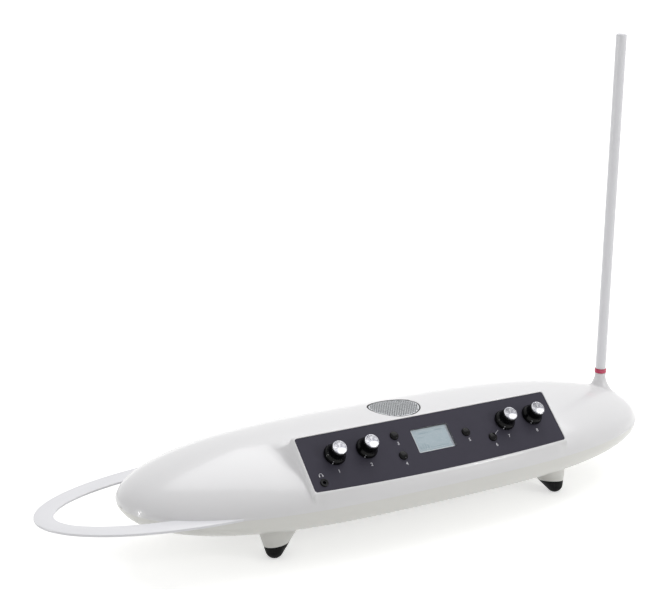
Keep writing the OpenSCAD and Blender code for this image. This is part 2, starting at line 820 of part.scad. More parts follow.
module tact_switches() {
    color([0.2, 0.2, 0.22]) on_panel() for (p = button_at)
        translate([p[0], p[1], board_top]) difference() {
            block(switch_w, switch_w, switch_h);
            translate([0, 0, switch_h - plunger_depth])
                cylinder(r = plunger_r + running_fit, h = plunger_depth + lip);
        }
}

module knob(i) {
    bore_top = grip_h - shaft_cover;
    hollow_r = grip_r - grip_wall;
    hollow_h = bush_out + grip_wall;
    groove_w = 0.5;
    groove_depth = 0.3;
    color(black) on_panel() translate([knob_x[i], knob_v, 0]) difference() {
        rotate_extrude() polygon([
            [0, knob_gap], [skirt_r - 0.3, knob_gap], [skirt_r, knob_gap + 0.4],
            [skirt_r, knob_gap + 1.1], [skirt_r - 0.5, skirt_h / 2], [grip_r + 1.8, skirt_h - 1],
            [grip_r + 0.6, skirt_h], [grip_r, skirt_h + 1.4], [grip_r - 0.15, grip_h - 0.6],
            [grip_r - 0.5, grip_h], [0, grip_h]]);
        translate([0, 0, knob_gap - lip]) cylinder(r = hollow_r, h = hollow_h + lip - knob_gap);
        cylinder(r = shaft_r, h = bore_top);
        translate([0, 0, grip_h - cap_sink]) cylinder(r = cap_r, h = cap_sink + lip);
        // Pointer groove across the skirt's edge
        rotate(-pointer_turn) translate([-groove_w / 2, -skirt_r - lip, knob_gap - lip])
            cube([groove_w, groove_depth + lip, grip_h]);
    }
}

module knob_cap(i) {
    h = cap_sink + cap_proud;
    edge = 0.4;
    color(satin) on_panel() translate([knob_x[i], knob_v, grip_h - cap_sink]) rotate_extrude() polygon([
        [0, 0], [cap_r, 0], [cap_r, h - edge], [cap_r - edge, h],
        [cap_r - 2.6, h - 0.12], [0, h - 0.3]]);
}

module control_shaft(i) {
    color(satin) on_panel() translate([knob_x[i], knob_v, shaft_foot])
        cylinder(r = shaft_r, h = grip_h - shaft_cover - shaft_foot);
}

// Potentiometer or encoder: square housing on the board, threaded bush through the panel
module control_housing(i) {
    color([0.35, 0.36, 0.38]) on_panel() translate([knob_x[i], knob_v, 0]) difference() {
        union() {
            translate([0, 0, board_top]) block(housing_w, housing_w, board_gap);
            translate([0, 0, panel_back - 1]) cylinder(r = bush_r, h = panel_t + 1 + bush_out);
        }
        translate([0, 0, shaft_foot - 0.2])
            cylinder(r = shaft_r + running_fit, h = bush_out - shaft_foot + lip);
    }
}

module control_nuts() {
    color(satin) on_panel() for (x = knob_x) translate([x, knob_v, 0]) difference() {
        cylinder(r = nut_r, h = nut_t, $fn = 6);
        translate([0, 0, -lip]) cylinder(r = bush_r, h = nut_t + 2 * lip);
    }
}

// Domed button with a collar behind the panel and a plunger in its switch
module button(i) {
    collar_t = 0.7;
    collar_w = 0.7;
    rest_gap = 0.3;
    plunger_foot = board_top + switch_h - plunger_depth + button_travel + 0.2;
    color(black) on_panel() translate([button_at[i][0], button_at[i][1], 0]) union() {
        rotate_extrude() polygon([
            [0, panel_back - rest_gap - collar_t], [button_r + collar_w, panel_back - rest_gap - collar_t],
            [button_r + collar_w, panel_back - rest_gap], [button_r, panel_back - rest_gap],
            [button_r, button_proud - 1.4], [button_r - 0.3, button_proud - 0.9],
            [button_r - 1.2, button_proud - 0.4], [button_r - 2.6, button_proud - 0.12],
            [0, button_proud]]);
        translate([0, 0, plunger_foot])
            cylinder(r = plunger_r, h = panel_back - rest_gap - collar_t - plunger_foot + 0.5);
    }
}

module at_phones() {
    on_panel() translate([phones_x, phones_v, 0]) children();
}

module headphone_jack() {
    sleeve = 1;
    color(black) at_phones() difference() {
        union() {
            translate([0, 0, board_top]) block(10.5, 10, board_gap);
            translate([0, 0, panel_back - 1]) cylinder(r = phones_thread_r, h = panel_t + 1 + sleeve);
            translate([0, 0, board_top - board_t - 3]) cylinder(r = phones_nose_r, h = board_t + 4);
        }
        translate([0, 0, sleeve - phones_bore_l]) cylinder(r = phones_bore_r, h = phones_bore_l + lip);
    }
}

module headphone_nut() {
    color([0.12, 0.12, 0.13]) at_phones() rotate_extrude() polygon([
        [phones_thread_r, 0], [phones_nut_r, 0], [phones_nut_r, 1],
        [phones_nut_r - 0.5, 1.5], [phones_thread_r, 1.5]]);
}

// ---- loudspeaker ----------------------------------------------------------------------------

module speaker_screw_places(z) {
    for (i = [0:3]) translate([0, grille_y, z]) rotate([0, 0, 45 + 90 * i])
        translate([speaker_screw_r, 0, 0]) children();
}

module speaker_grille() {
    rim = 2.6;
    n = floor((grille_r - rim) / grille_pitch);
    row = grille_pitch * sin(60);
    color([0.75, 0.76, 0.76]) translate([0, grille_y, grille_seat]) linear_extrude(grille_t)
        difference() {
            circle(grille_r);
            for (j = [-n - 1:n + 1], i = [-n - 1:n + 1])
                let (p = [(i + (j % 2 == 0 ? 0 : 0.5)) * grille_pitch, j * row])
                if (norm(p) < grille_r - rim) translate(p) circle(grille_hole_r);
        }
}

module speaker_basket() {
    color([0.2, 0.2, 0.21]) difference() {
        union() {
            translate([0, grille_y, 0]) rotate_extrude() polygon([
                [cone_r, speaker_top], [speaker_ring_r, speaker_top], [speaker_ring_r, flange_foot],
                [cone_r + 2.6, flange_foot], [magnet_r - 1, basket_foot], [cone_foot_r, basket_foot],
                [cone_foot_r, basket_foot + 1.2], [magnet_r - 2.4, basket_foot + 1.2],
                [cone_r, flange_foot]]);
            translate([cone_r - 2, grille_y - 3, speaker_top - 8]) cube([7, 6, 1.5]);
        }
        speaker_screw_places(flange_foot - lip)
            cylinder(r = screw_r + 0.2, h = speaker_flange_t + 2 * lip);
        translate([0, grille_y, 0]) rotate_extrude() polygon([
            [0, basket_foot + 1.2], [magnet_r - 2.4, basket_foot + 1.2], [cone_r, flange_foot],
            [cone_r, speaker_top + lip], [0, speaker_top + lip]]);
    }
}

// Paper cone with its rolled surround and dust cap
module speaker_cone() {
    top = speaker_top - 0.6;
    foot = basket_foot + 4;
    t = 0.8;
    color([0.1, 0.1, 0.1]) translate([0, grille_y, 0]) union() {
        rotate_extrude() polygon([
            [cone_foot_r, foot], [cone_foot_r + 1, foot], [cone_r - 4, top - t],
            [cone_r - 2.8, top + 0.3 - t], [cone_r - 1.4, top + 0.3 - t],
            [cone_r, flange_foot], [cone_r, top],
            [cone_r - 1.2, top + 0.3], [cone_r - 3, top + 0.3], [cone_r - 4.4, top],
            [cone_foot_r + 0.4, foot + 1.6], [cone_foot_r - 3, foot + 2.4], [0, foot + 2.8],
            [0, foot + 2], [cone_foot_r, foot + 0.8]]);
        translate([0, 0, basket_foot]) difference() {
            cylinder(r = cone_foot_r - 0.3, h = 4.9);
            translate([0, 0, -lip]) cylinder(r = cone_foot_r - 1.1, h = 4.9 + 2 * lip);
        }
    }
}

module speaker_magnet() {
    plate = 2;
    color([0.3, 0.3, 0.32]) translate([0, grille_y, basket_foot - magnet_h]) union() {
        cylinder(r = magnet_r, h = magnet_h - plate);
        translate([0, 0, magnet_h - plate]) cylinder(r = magnet_r - 2, h = plate);
    }
}

// ---- antennas -------------------------------------------------------------------------------

module pitch_antenna() {
    foot = ring_top + rod_gap;
    dome = 3;
    color(satin) translate([antenna_x, 0, 0]) union() {
        translate([0, 0, foot]) rotate_extrude() polygon(concat(
            [[0, 0], [antenna_r, 0]],
            [for (i = [0:6]) let (t = 90 * i / 6)
                [antenna_r - dome + dome * cos(t), antenna_top - foot - dome + dome * sin(t)]],
            [[0, antenna_top - foot]]));
        translate([0, 0, foot - plug_l]) cylinder(r = plug_r, h = plug_l + 1);
    }
}

module antenna_ring() {
    edge = 0.5;
    color([0.75, 0.07, 0.1]) translate([antenna_x, 0, collar_top]) rotate_extrude() polygon([
        [plug_r + running_fit, 0], [ring_r - edge, 0], [ring_r, edge], [ring_r, ring_h - edge],
        [ring_r - edge, ring_h], [plug_r + running_fit, ring_h]]);
}

module antenna_socket() {
    color(brass) translate([antenna_x, 0, 0]) difference() {
        union() {
            translate([0, 0, socket_foot]) cylinder(r = socket_r, h = socket_l);
            translate([0, 0, socket_foot]) cylinder(r = socket_flange_r, h = socket_flange_t);
            translate([0, 0, socket_foot - socket_lug]) cylinder(r = socket_lug, h = socket_lug);
        }
        translate([0, 0, socket_foot + 1]) cylinder(r = plug_r + running_fit, h = socket_l + lip);
    }
}

module volume_loop() {
    color(satin) difference() {
        loop_plate(0);
        for (y = [-1, 1]) translate([loop_screw_x, y * loop_screw_y, loop_under - lip])
            cylinder(r = screw_r + 0.1, h = loop_t + 2 * lip);
    }
}

// ---- back connectors ------------------------------------------------------------------------

// Drops a piece onto the plate's outer face, with its z axis out of the back
module at_back(x) {
    translate([x, plate_y, connector_z]) rotate([-90, 0, 0]) children();
}

module rear_plate() {
    color(charcoal) difference() {
        translate([-plate_w / 2, plate_y, plate_low]) cube([plate_w, plate_t, plate_h]);
        for (x = jack_x) at_back(x) translate([0, 0, -lip])
            cylinder(r = jack_thread_r + seat_fit, h = plate_t + 2 * lip);
        translate([usb_x - usb_w / 2 - seat_fit, plate_y - lip, main_top - seat_fit])
            cube([usb_w + 2 * seat_fit, plate_t + 2 * lip, usb_h + 2 * seat_fit]);
        at_back(inlet_x) translate([0, inlet_drop, -lip]) cylinder(r = inlet_r + 1, h = plate_t + 2 * lip);
        at_back(power_x) translate([0, 0, -lip]) cylinder(r = power_r + power_fit, h = plate_t + 2 * lip);
        for (x = [-1, 1]) at_back(x * plate_screw_x) translate([0, 0, -lip])
            cylinder(r = screw_r + 0.1, h = plate_t + 2 * lip);
    }
}

module output_jacks() {
    w = 15;
    l = 24;
    sleeve = plate_t + 2;
    color(black) for (x = jack_x) at_back(x) difference() {
        union() {
            translate([0, 0, -l]) block(w, 2 * jack_half, l);
            translate([0, 0, -1]) cylinder(r = jack_thread_r, h = 1 + sleeve);
        }
        translate([0, 0, sleeve - jack_bore_l]) cylinder(r = jack_bore_r, h = jack_bore_l + lip);
    }
}

module output_jack_nuts() {
    color(satin) for (x = jack_x) at_back(x) translate([0, 0, plate_t]) difference() {
        cylinder(r = 7, h = 1.8, $fn = 6);
        translate([0, 0, -lip]) cylinder(r = jack_thread_r, h = 1.8 + 2 * lip);
    }
}

module usb_socket() {
    tongue = [5.6, 8, 3.2];
    color(satin) translate([usb_x, plate_y + plate_t, main_top]) union() {
        difference() {
            translate([-usb_w / 2, -usb_l, 0]) cube([usb_w, usb_l, usb_h]);
            translate([-4.25, -9, 1.4]) cube([8.5, 9 + lip, 7.8]);
        }
        translate([-tongue[0] / 2, -9.5, 3.7]) cube(tongue);
    }
}

module power_inlet() {
    color(black) at_back(inlet_x) translate([0, inlet_drop, 0]) union() {
        difference() {
            union() {
                translate([0, 0, -inlet_l]) block(inlet_w, inlet_h, inlet_l);
                cylinder(r = inlet_r + 0.9, h = plate_t);
            }
            translate([0, 0, -9]) cylinder(r = inlet_r, h = 9 + plate_t + lip);
        }
        translate([0, 0, -10]) cylinder(r = 1, h = 11);
    }
}

module power_switch() {
    l = 14;
    color([0.2, 0.2, 0.22]) at_back(power_x) difference() {
        translate([0, 0, -l]) block(switch_body, 2 * jack_half, l);
        translate([0, 0, -power_travel - 5]) cylinder(r = 2.2 + running_fit, h = 20);
        translate([0, 0, -power_travel - 1]) cylinder(r = power_r + power_fit, h = 20);
    }
}

module power_button() {
    out = plate_t + 4;
    color(black) at_back(power_x) union() {
        rotate_extrude() polygon([[0, -0.8], [power_r, -0.8], [power_r, out - 0.6],
            [power_r - 0.6, out], [0, out - 0.2]]);
        translate([0, 0, -4.6]) cylinder(r = 2.2, h = 5);
    }
}

// ---- inside ---------------------------------------------------------------------------------

module main_board() {
    chip_w = 14;
    chip_t = 1.6;
    chip_x = -40;
    memory_w = 9;
    memory_x = -16;
    power_stage_x = 56;
    capacitor_r = 4;
    capacitor_h = 10;
    coil_w = 9;
    coil_h = 5;
    row = main_front + chip_w;
    color(board_green) difference() {
        union() {
            translate([-main_half, main_front, main_under]) cube([2 * main_half, main_depth, board_t]);
            // Processor, memory and the power stage's capacitors and coil
            translate([chip_x, row, main_top]) block(chip_w, chip_w, chip_t);
            translate([memory_x, row, main_top]) block(memory_w, chip_w, chip_t);
            for (x = [-1, 1]) translate([power_stage_x + 1.5 * x * capacitor_r, row + coil_w, main_top])
                cylinder(r = capacitor_r, h = capacitor_h);
            translate([power_stage_x, main_front + coil_w, main_top]) block(coil_w, coil_w, coil_h);
        }
        for (p = main_screw_at) translate([p[0], p[1], main_under - lip])
            cylinder(r = screw_r + 0.1, h = board_t + 2 * lip);
    }
}

// Oscillator board of one antenna, with its wound coil standing on it
module oscillator_board(out) {
    coil_in = 14;
    coil_r = 5.5;
    coil_h = 12;
    cheek_r = 7;
    cheek_t = 1.5;
    chip_in = 15;
    chip_l = 6;
    chip_w = 5;
    chip_y = 8;
    color(board_green) translate([out * side_board_x, 0, side_board_z]) difference() {
        union() {
            block(2 * side_half_l, 2 * side_half_w, board_t);
            translate([-out * (side_half_l - coil_in), 0, board_t]) {
                cylinder(r = cheek_r, h = cheek_t);
                translate([0, 0, cheek_t]) cylinder(r = coil_r, h = coil_h);
                translate([0, 0, cheek_t + coil_h]) cylinder(r = cheek_r, h = cheek_t);
            }
            for (y = [-1, 1]) translate([out * (side_half_l - chip_in), y * chip_y, board_t])
                block(chip_l, chip_w, cheek_t);
        }
        for (y = [-1, 1]) translate([0, y * (side_half_w - side_screw_in), -lip])
            cylinder(r = screw_r + 0.1, h = board_t + 2 * lip);
    }
}

// Round wire along straight runs, with a ball at each bend
module wire(path, r) {
    bend_swell = 1.08;
    for (i = [0:len(path) - 2])
        let (d = path[i + 1] - path[i], flat = norm([d[0], d[1]]))
        translate(path[i]) rotate([0, atan2(flat, d[2]), atan2(d[1], d[0])]) cylinder(r = r, h = norm(d));
    for (i = [1:len(path) - 2]) translate(path[i]) sphere(r * bend_swell);
}

module antenna_leads() {
    r = 0.9;
    rise = 6;
    drop = 9;
    board_face = side_board_z + board_t;
    pad_x = side_board_x + side_half_l - wire_edge;
    loop_pad = [-side_board_x + side_half_l - wire_edge, -side_half_w + 2 * wire_edge];
    tab_x = loop_screw_x + 2;
    tab_y = -loop_screw_y + 7.8;
    bend_y = -side_half_w - 2 * wire_edge;
    color([0.8, 0.1, 0.1]) {
        wire([[antenna_x, 0, socket_foot - socket_lug], [antenna_x, 0, socket_foot - 1.5 * drop],
            [pad_x, 0, board_face + rise], [pad_x, 0, board_face]], r);
        wire([[tab_x, tab_y, loop_under], [tab_x, tab_y, loop_under - drop],
            [tab_x, bend_y, loop_under - drop], [loop_pad[0], loop_pad[1], board_face + rise],
            [loop_pad[0], loop_pad[1], board_face]], r);
    }
}

module speaker_lead() {
    x = cone_r + 3;
    color([0.1, 0.1, 0.1]) wire([[x, grille_y, speaker_top - 8], [x, grille_y, main_top + 26],
        [x, main_front + 8, main_top + 12], [x, main_front + 8, main_top]], 1.1);
}

// Flat strip along a path in a plane, with round bends
module strip(path, t) {
    for (i = [0:len(path) - 2])
        let (d = path[i + 1] - path[i])
        translate(path[i]) rotate(atan2(d[1], d[0])) translate([0, -t / 2]) square([norm(d), t]);
    for (i = [1:len(path) - 2]) translate(path[i]) circle(t / 2);
}

// Flat cable between the panel's board and the main board
module ribbon_cable() {
    half = 12;
    t = 1;
    start = panel_point(0, board_top - board_t);
    straight = panel_point(0, board_top - board_t - 12);
    land = main_front + 3;
    color([0.6, 0.62, 0.66]) along_body(half)
        strip([start, straight, [land - 12, main_top + 20], [land, main_top + 12], [land, main_top]], t);
}

module stand_insert() {
    color(satin) difference() {
        union() {
            translate([0, 0, stand_seat_z - stand_flange_t]) cylinder(r = stand_flange_r, h = stand_flange_t);
            translate([0, 0, stand_seat_z]) cylinder(r = stand_barrel_r, h = stand_l);
        }
        cylinder(r = stand_bore_r, h = stand_top + lip);
    }
}

// ---- fasteners ------------------------------------------------------------------------------

// Pan-head screw: its head sits on z = 0 and its shank goes down
module screw(l) {
    difference() {
        union() {
            cylinder(r = screw_head_r, h = screw_head_h);
            translate([0, 0, -l]) cylinder(r = screw_r, h = l + 0.5);
        }
        for (turn = [0, 90]) rotate(turn) translate([-1.4, -0.3, screw_head_h - 1]) cube([2.8, 0.6, 2]);
    }
}

module small_screws() {
    color(satin) {
        for (p = main_screw_at) translate([p[0], p[1], main_top]) screw(small_screw_l);
        for (p = side_screw_at) translate([p[0], p[1], side_board_z + board_t]) screw(small_screw_l);
        for (y = [-1, 1]) translate([loop_screw_x, y * loop_screw_y, loop_over]) screw(small_screw_l);
        for (x = [-1, 1]) at_back(x * plate_screw_x) translate([0, 0, plate_t]) screw(small_screw_l);
        speaker_screw_places(flange_foot) rotate([180, 0, 0]) screw(small_screw_l);
    }
}

module shell_screws() {
    color(satin) for (p = case_screw_at)
        translate([p[0], p[1], case_seat_z]) rotate([180, 0, 0]) screw(case_screw_l);
}

top_shell();
bottom_shell();
control_panel();
lcd_window();
lcd_glass();
lcd_frame();
panel_board();
tact_switches();
knob(0);  // outer_left_knob
knob(1);  // inner_left_knob
knob(2);  // inner_right_knob
knob(3);  // outer_right_knob
knob_cap(0);  // outer_left_knob_cap
knob_cap(1);  // inner_left_knob_cap
knob_cap(2);  // inner_right_knob_cap
knob_cap(3);  // outer_right_knob_cap
control_shaft(0);  // outer_left_shaft
control_shaft(1);  // inner_left_shaft
control_shaft(2);  // inner_right_shaft
control_shaft(3);  // outer_right_shaft
control_housing(0);  // outer_left_potentiometer
control_housing(1);  // inner_left_potentiometer
control_housing(2);  // inner_right_potentiometer
control_housing(3);  // outer_right_encoder
control_nuts();
button(0);  // upper_left_button
button(1);  // lower_left_button
button(2);  // upper_right_button
button(3);  // lower_right_button
headphone_jack();
headphone_nut();
speaker_grille();
speaker_basket();
speaker_cone();
speaker_magnet();
pitch_antenna();
antenna_ring();
antenna_socket();
volume_loop();
rubber_foot();  // front_right_foot
mirror([1, 0, 0]) rubber_foot();  // front_left_foot
mirror([0, 1, 0]) rubber_foot();  // rear_right_foot
mirror([1, 0, 0]) mirror([0, 1, 0]) rubber_foot();  // rear_left_foot
rear_plate();
output_jacks();
output_jack_nuts();
usb_socket();
power_inlet();
power_switch();
power_button();
main_board();
oscillator_board(1);  // pitch_oscillator_board
oscillator_board(-1);  // volume_oscillator_board
antenna_leads();
speaker_lead();
ribbon_cable();
stand_insert();
small_screws();
shell_screws();
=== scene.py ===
"""Looks of the desktop theremin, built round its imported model.

Lengths are millimetres until a mesh is made. A form is a function of x, y and z that is negative
inside a body and zero on its surface.
"""

import json
import math

import bmesh
import bpy
import numpy as np
from mathutils import Matrix, Vector


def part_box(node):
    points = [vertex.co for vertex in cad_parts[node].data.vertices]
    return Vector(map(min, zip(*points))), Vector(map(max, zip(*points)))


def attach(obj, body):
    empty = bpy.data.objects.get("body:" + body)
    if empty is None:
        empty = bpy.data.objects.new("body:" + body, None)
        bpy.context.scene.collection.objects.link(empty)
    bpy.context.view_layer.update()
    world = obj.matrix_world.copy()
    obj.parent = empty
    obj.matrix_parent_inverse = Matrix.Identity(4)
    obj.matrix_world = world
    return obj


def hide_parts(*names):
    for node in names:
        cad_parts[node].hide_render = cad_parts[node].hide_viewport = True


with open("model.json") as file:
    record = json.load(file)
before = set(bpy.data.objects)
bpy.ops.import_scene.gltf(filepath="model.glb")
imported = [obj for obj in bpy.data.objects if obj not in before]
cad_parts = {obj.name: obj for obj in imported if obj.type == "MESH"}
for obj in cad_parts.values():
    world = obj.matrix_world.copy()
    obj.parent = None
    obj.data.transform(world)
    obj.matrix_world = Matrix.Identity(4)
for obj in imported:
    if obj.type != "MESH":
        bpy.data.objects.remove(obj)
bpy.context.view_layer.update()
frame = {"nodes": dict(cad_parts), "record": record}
MM = 0.001
nodes = frame["nodes"]


def span(node):
    """Lowest and highest corner of a CAD node, in millimetres."""
    low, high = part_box(node)
    return np.array(low) / MM, np.array(high) / MM


# ---- the body's form ----

top_low, top_high = span("top_shell")
HALF_LENGTH, HALF_DEPTH, SEAM_Z = top_high[0], top_high[1], top_low[2]
SEAM_STEP = HALF_DEPTH - span("bottom_shell")[1][1]  # the lower shell is this much smaller
CROWN = 50.0  # height of the upper shell over the seam
BELLY_Z = 24.5  # lowest point of the lower shell's belly
KEEL = SEAM_Z - BELLY_Z + SEAM_STEP
LENGTH_POWER, DEPTH_POWER, TIP_POWER = 3.04, 2.18, 0.45
CROWN_POWER, KEEL_POWER = 1.83, 2.51
# A low lip stands out at the seam round both ends: its height, and where it fades, up and along
LIP, LIP_UP, LIP_ALONG = 0.9, (1.0, 2.6), (190, 270)

# The wedge with the panel; y and z pairs lie in the section across the body
SLOPE, BACK_SLOPE = math.radians(42.2), math.radians(41)
PANEL_W, PANEL_H, PANEL_CORNER = 313.6, 61.1, 2.8
PANEL_Y, PANEL_Z = -75.3, 102.1
PANEL_INSET = 0.5  # the wedge's slope stands this far over the panel's face
PANEL_FIT = 0.2  # room round the panel, both sides together
RIM_SIDE, RIM_TOP = 2.2, 0.8
RIDGE_ROUND, BROW_ROUND = 2.0, 2.0
RIM_ROUND, WALL_ROUND = 0.9, 2.5  # edge of the end walls beside the panel, and more further off
FRONT_Y = -102.8
PANEL_BOW, FRONT_BOW = 4.7, 2.9  # curve of the panel's lower edge and of the front face
WALL_LEAN = 0.16  # how far an end wall goes out for each step down
WEDGE_FILLET = 9  # where the wedge meets the crown
WEDGE_HALF = PANEL_W / 2 + RIM_SIDE
UP_SLOPE = np.array([math.cos(SLOPE), math.sin(SLOPE)])
OUT_OF_PANEL = np.array([-math.sin(SLOPE), math.cos(SLOPE)])
PANEL_OUT = (0.0, OUT_OF_PANEL[0], OUT_OF_PANEL[1])
BACK_NORMAL = np.array([math.sin(BACK_SLOPE), math.cos(BACK_SLOPE)])
FRONT_NORMAL = np.array([-1.0, 0.0])
PANEL_MID = np.array([PANEL_Y, PANEL_Z])

ring_low, ring_high = span("antenna_ring")
ANTENNA_X = (ring_low[0] + ring_high[0]) / 2
COLLAR_TOP, COLLAR_R, COLLAR_H = ring_low[2], 6.5, 4.6
FLARE_R, FLARE_SINK, FLARE_FILLET = 26.0, 0.8, 3.0
FLARE_SLANT = 0.7  # turns a level distance from the slanted side into about the nearest one

grille_low, grille_high = span("speaker_grille")
GRILLE_R = (grille_high[0] - grille_low[0]) / 2
GRILLE_Y = (grille_low[1] + grille_high[1]) / 2
GRILLE_TOP = grille_high[2]

FOOT_X, FOOT_Y, FOOT_R, FOOT_Z = 180.4, 55.2, 9.4, 9.0
LEG_TAPER, LEG_LEAN, LEG_HEADING = (math.radians(a) for a in (25.8, 21.3, 47))
LEG_FILLET = 5.0
RUBBER_H = 14.6  # height of the joint between leg and rubber foot
# The slant of that joint, at the front right leg
RUBBER_TILT = Matrix.Rotation(math.radians(6.5), 3, "Y") @ Matrix.Rotation(math.radians(-8), 3, "X")
FOUR_WAYS = [(sx, sy) for sx in (-1, 1) for sy in (-1, 1)]


def smooth_min(a, b, k):
    """The lower of two distances, with a fillet of about k between them."""
    h = np.clip(0.5 + 0.5 * (b - a) / k, 0, 1)
    return b + (a - b) * h - k * h * (1 - h)


def smooth_step(x, low, high):
    """Rises gently from 0 at low to 1 at high."""
    t = np.clip((x - low) / (high - low), 0, 1)
    return t * t * (3 - 2 * t)


def bend(a, b, c, t):
    """The point t of the way along a curve from a to c that sets out and arrives in line with b."""
    return a * (1 - t) ** 2 + b * 2 * t * (1 - t) + c * t ** 2


def lens(x, y, z, up):
    """Distance outside the lens, measured in the section across the body."""
    inset = 0.0 if up else SEAM_STEP
    fall = np.maximum(1 - (np.abs(x) / (HALF_LENGTH - inset)) ** LENGTH_POWER, 1e-9)
    deep = (HALF_DEPTH - inset) * fall ** (1 / DEPTH_POWER)
    high = ((CROWN if up else KEEL) - inset) * fall ** TIP_POWER
    power = CROWN_POWER if up else KEEL_POWER
    h = np.abs(z - SEAM_Z) + 1e-6
    r = ((np.abs(y) / deep) ** power + (h / high) ** power) ** (1 / power)
    d = np.hypot(y, h) * (1 - 1 / r)
    if up:
        d = d + LIP * smooth_step(h, *LIP_UP) * smooth_step(np.abs(x), *LIP_ALONG)
    return d + np.maximum(np.abs(x) - HALF_LENGTH + inset, 0)


def round_corner(d, y, z, normal_a, level_a, normal_b, level_b, radius):
    """Rounds the corner between two half planes: points in the corner's cone go by the arc."""
    back = np.linalg.inv(np.array([normal_a, normal_b]))
    a, b = level_a - radius, level_b - radius
    qy = y - (back[0, 0] * a + back[0, 1] * b)
    qz = z - (back[1, 0] * a + back[1, 1] * b)
    side = np.sign(normal_a[0] * normal_b[1] - normal_a[1] * normal_b[0])
    in_cone = (side * (normal_a[0] * qz - normal_a[1] * qy) >= 0) \
        & (side * (qy * normal_b[1] - qz * normal_b[0]) >= 0)
    return np.where(in_cone, np.hypot(qy, qz) - radius, d)


def wedge(x, y, z):
    """Distance outside the wedge that carries the control panel."""
    w = (y - PANEL_Y) * OUT_OF_PANEL[0] + (z - PANEL_Z) * OUT_OF_PANEL[1]
    slope_level = PANEL_MID @ OUT_OF_PANEL + PANEL_INSET
    front_level = -FRONT_Y - FRONT_BOW * np.minimum(np.abs(x) / WEDGE_HALF, 1.1) ** 2
    ridge_v = PANEL_H / 2 + RIM_TOP + RIDGE_ROUND * math.tan((SLOPE + BACK_SLOPE) / 2)
    ridge = PANEL_MID + ridge_v * UP_SLOPE + PANEL_INSET * OUT_OF_PANEL
    back_level = ridge @ BACK_NORMAL
    back = y * BACK_NORMAL[0] + z * BACK_NORMAL[1] - back_level
    profile = np.maximum(np.maximum(w - PANEL_INSET, -y - front_level), back)
    profile = round_corner(
        profile, y, z, FRONT_NORMAL, front_level, OUT_OF_PANEL, slope_level, BROW_ROUND)
    profile = round_corner(
        profile, y, z, OUT_OF_PANEL, slope_level, BACK_NORMAL, back_level, RIDGE_ROUND)
    end = np.abs(x) - WEDGE_HALF - WALL_LEAN * np.maximum(PANEL_INSET - w, 0)
    edge = RIM_ROUND + WALL_ROUND * (smooth_step(-w, 2, 8) + smooth_step(back, -4, 2))
    return -smooth_min(-profile, -end, edge * 2)


def flare(x, y, z):
    """Distance outside the flared seat of the pitch antenna."""
    fall = 1 - ((ANTENNA_X + FLARE_R) / HALF_LENGTH) ** LENGTH_POWER
    foot = SEAM_Z + CROWN * fall ** TIP_POWER - FLARE_SINK
    t = np.linspace(0, 1, 24)
    curve_r = bend(FLARE_R, COLLAR_R + 3, COLLAR_R, t)
    curve_z = bend(foot, foot + 10, COLLAR_TOP - COLLAR_H, t)
    side = (np.hypot(x - ANTENNA_X, y) - np.interp(z, curve_z, curve_r)) * FLARE_SLANT
    return np.maximum(side, z - COLLAR_TOP)


def top_form(x, y, z):
    """The upper shell: lens, wedge and flare."""
    end = smooth_step(np.abs(x), 144, 157)
    # The fillet narrows along the wedge's front and the front of its end walls, and widens behind
    soft = WEDGE_FILLET - (3 - 2 * end) * smooth_step(-y, 88, 100)
    soft = soft + end * (5 * smooth_step(y, -80, -50) - 6 * smooth_step(-y, 60, 88))
    body = smooth_min(lens(x, y, z, True), wedge(x, y, z), soft)
    return smooth_min(body, flare(x, y, z), FLARE_FILLET)


def leg(x, y, z):
    """Distance outside the leaning cone of the nearest leg."""
    px, py, pz = np.abs(x) - FOOT_X, np.abs(y) - FOOT_Y, z - FOOT_Z
    across = -math.sin(LEG_LEAN)
    along = px * across * math.cos(LEG_HEADING) + py * across * math.sin(LEG_HEADING) \
        + pz * math.cos(LEG_LEAN)
    off = np.sqrt(np.maximum(px ** 2 + py ** 2 + pz ** 2 - along ** 2, 1e-9))
    cone = (off - along * math.tan(LEG_TAPER)) * math.cos(LEG_TAPER) - FOOT_R
    ball = np.sqrt(off ** 2 + along ** 2) - FOOT_R
    return np.where(along * math.cos(LEG_TAPER) + off * math.sin(LEG_TAPER) < 0, ball, cone)


def bottom_form(x, y, z):
    """The lower shell with its four legs."""
    return smooth_min(lens(x, y, z, False), leg(x, y, z), LEG_FILLET)


# ---- meshes from a form ----

SKIN_TOLERANCE = 0.6  # faces further than this from the form's surface are a cut's walls
SEAM_TRIM = 0.25  # a shell's skin ends this far from the seam, and a strip closes its edge
CUT_BELOW, CUT_ABOVE = 26, 40  # how far a cutter reaches from the surface
HIDDEN_REACH, HIDDEN_SINK = 0.5, 0.04  # a lining starts under the skin, so that no gap shows


def gradient(form, p, step=0.02):
    """The form's slope at each point."""
    g = np.empty_like(p)
    for axis in range(3):
        move = np.zeros(3)
        move[axis] = step
        g[:, axis] = form(*(p + move).T) - form(*(p - move).T)
    return g / (2 * step)


def settle(form, p, rounds=5, longest=1.5):
    """Moves points onto the form's surface, by short steps."""
    for _ in range(rounds):
        g = gradient(form, p)
        shift = form(*p.T)[:, None] * g / np.maximum((g ** 2).sum(1), 1e-6)[:, None]
        length = np.linalg.norm(shift, axis=1, keepdims=True)
        p = p - shift * np.minimum(1, longest / np.maximum(length, 1e-9))
    return p


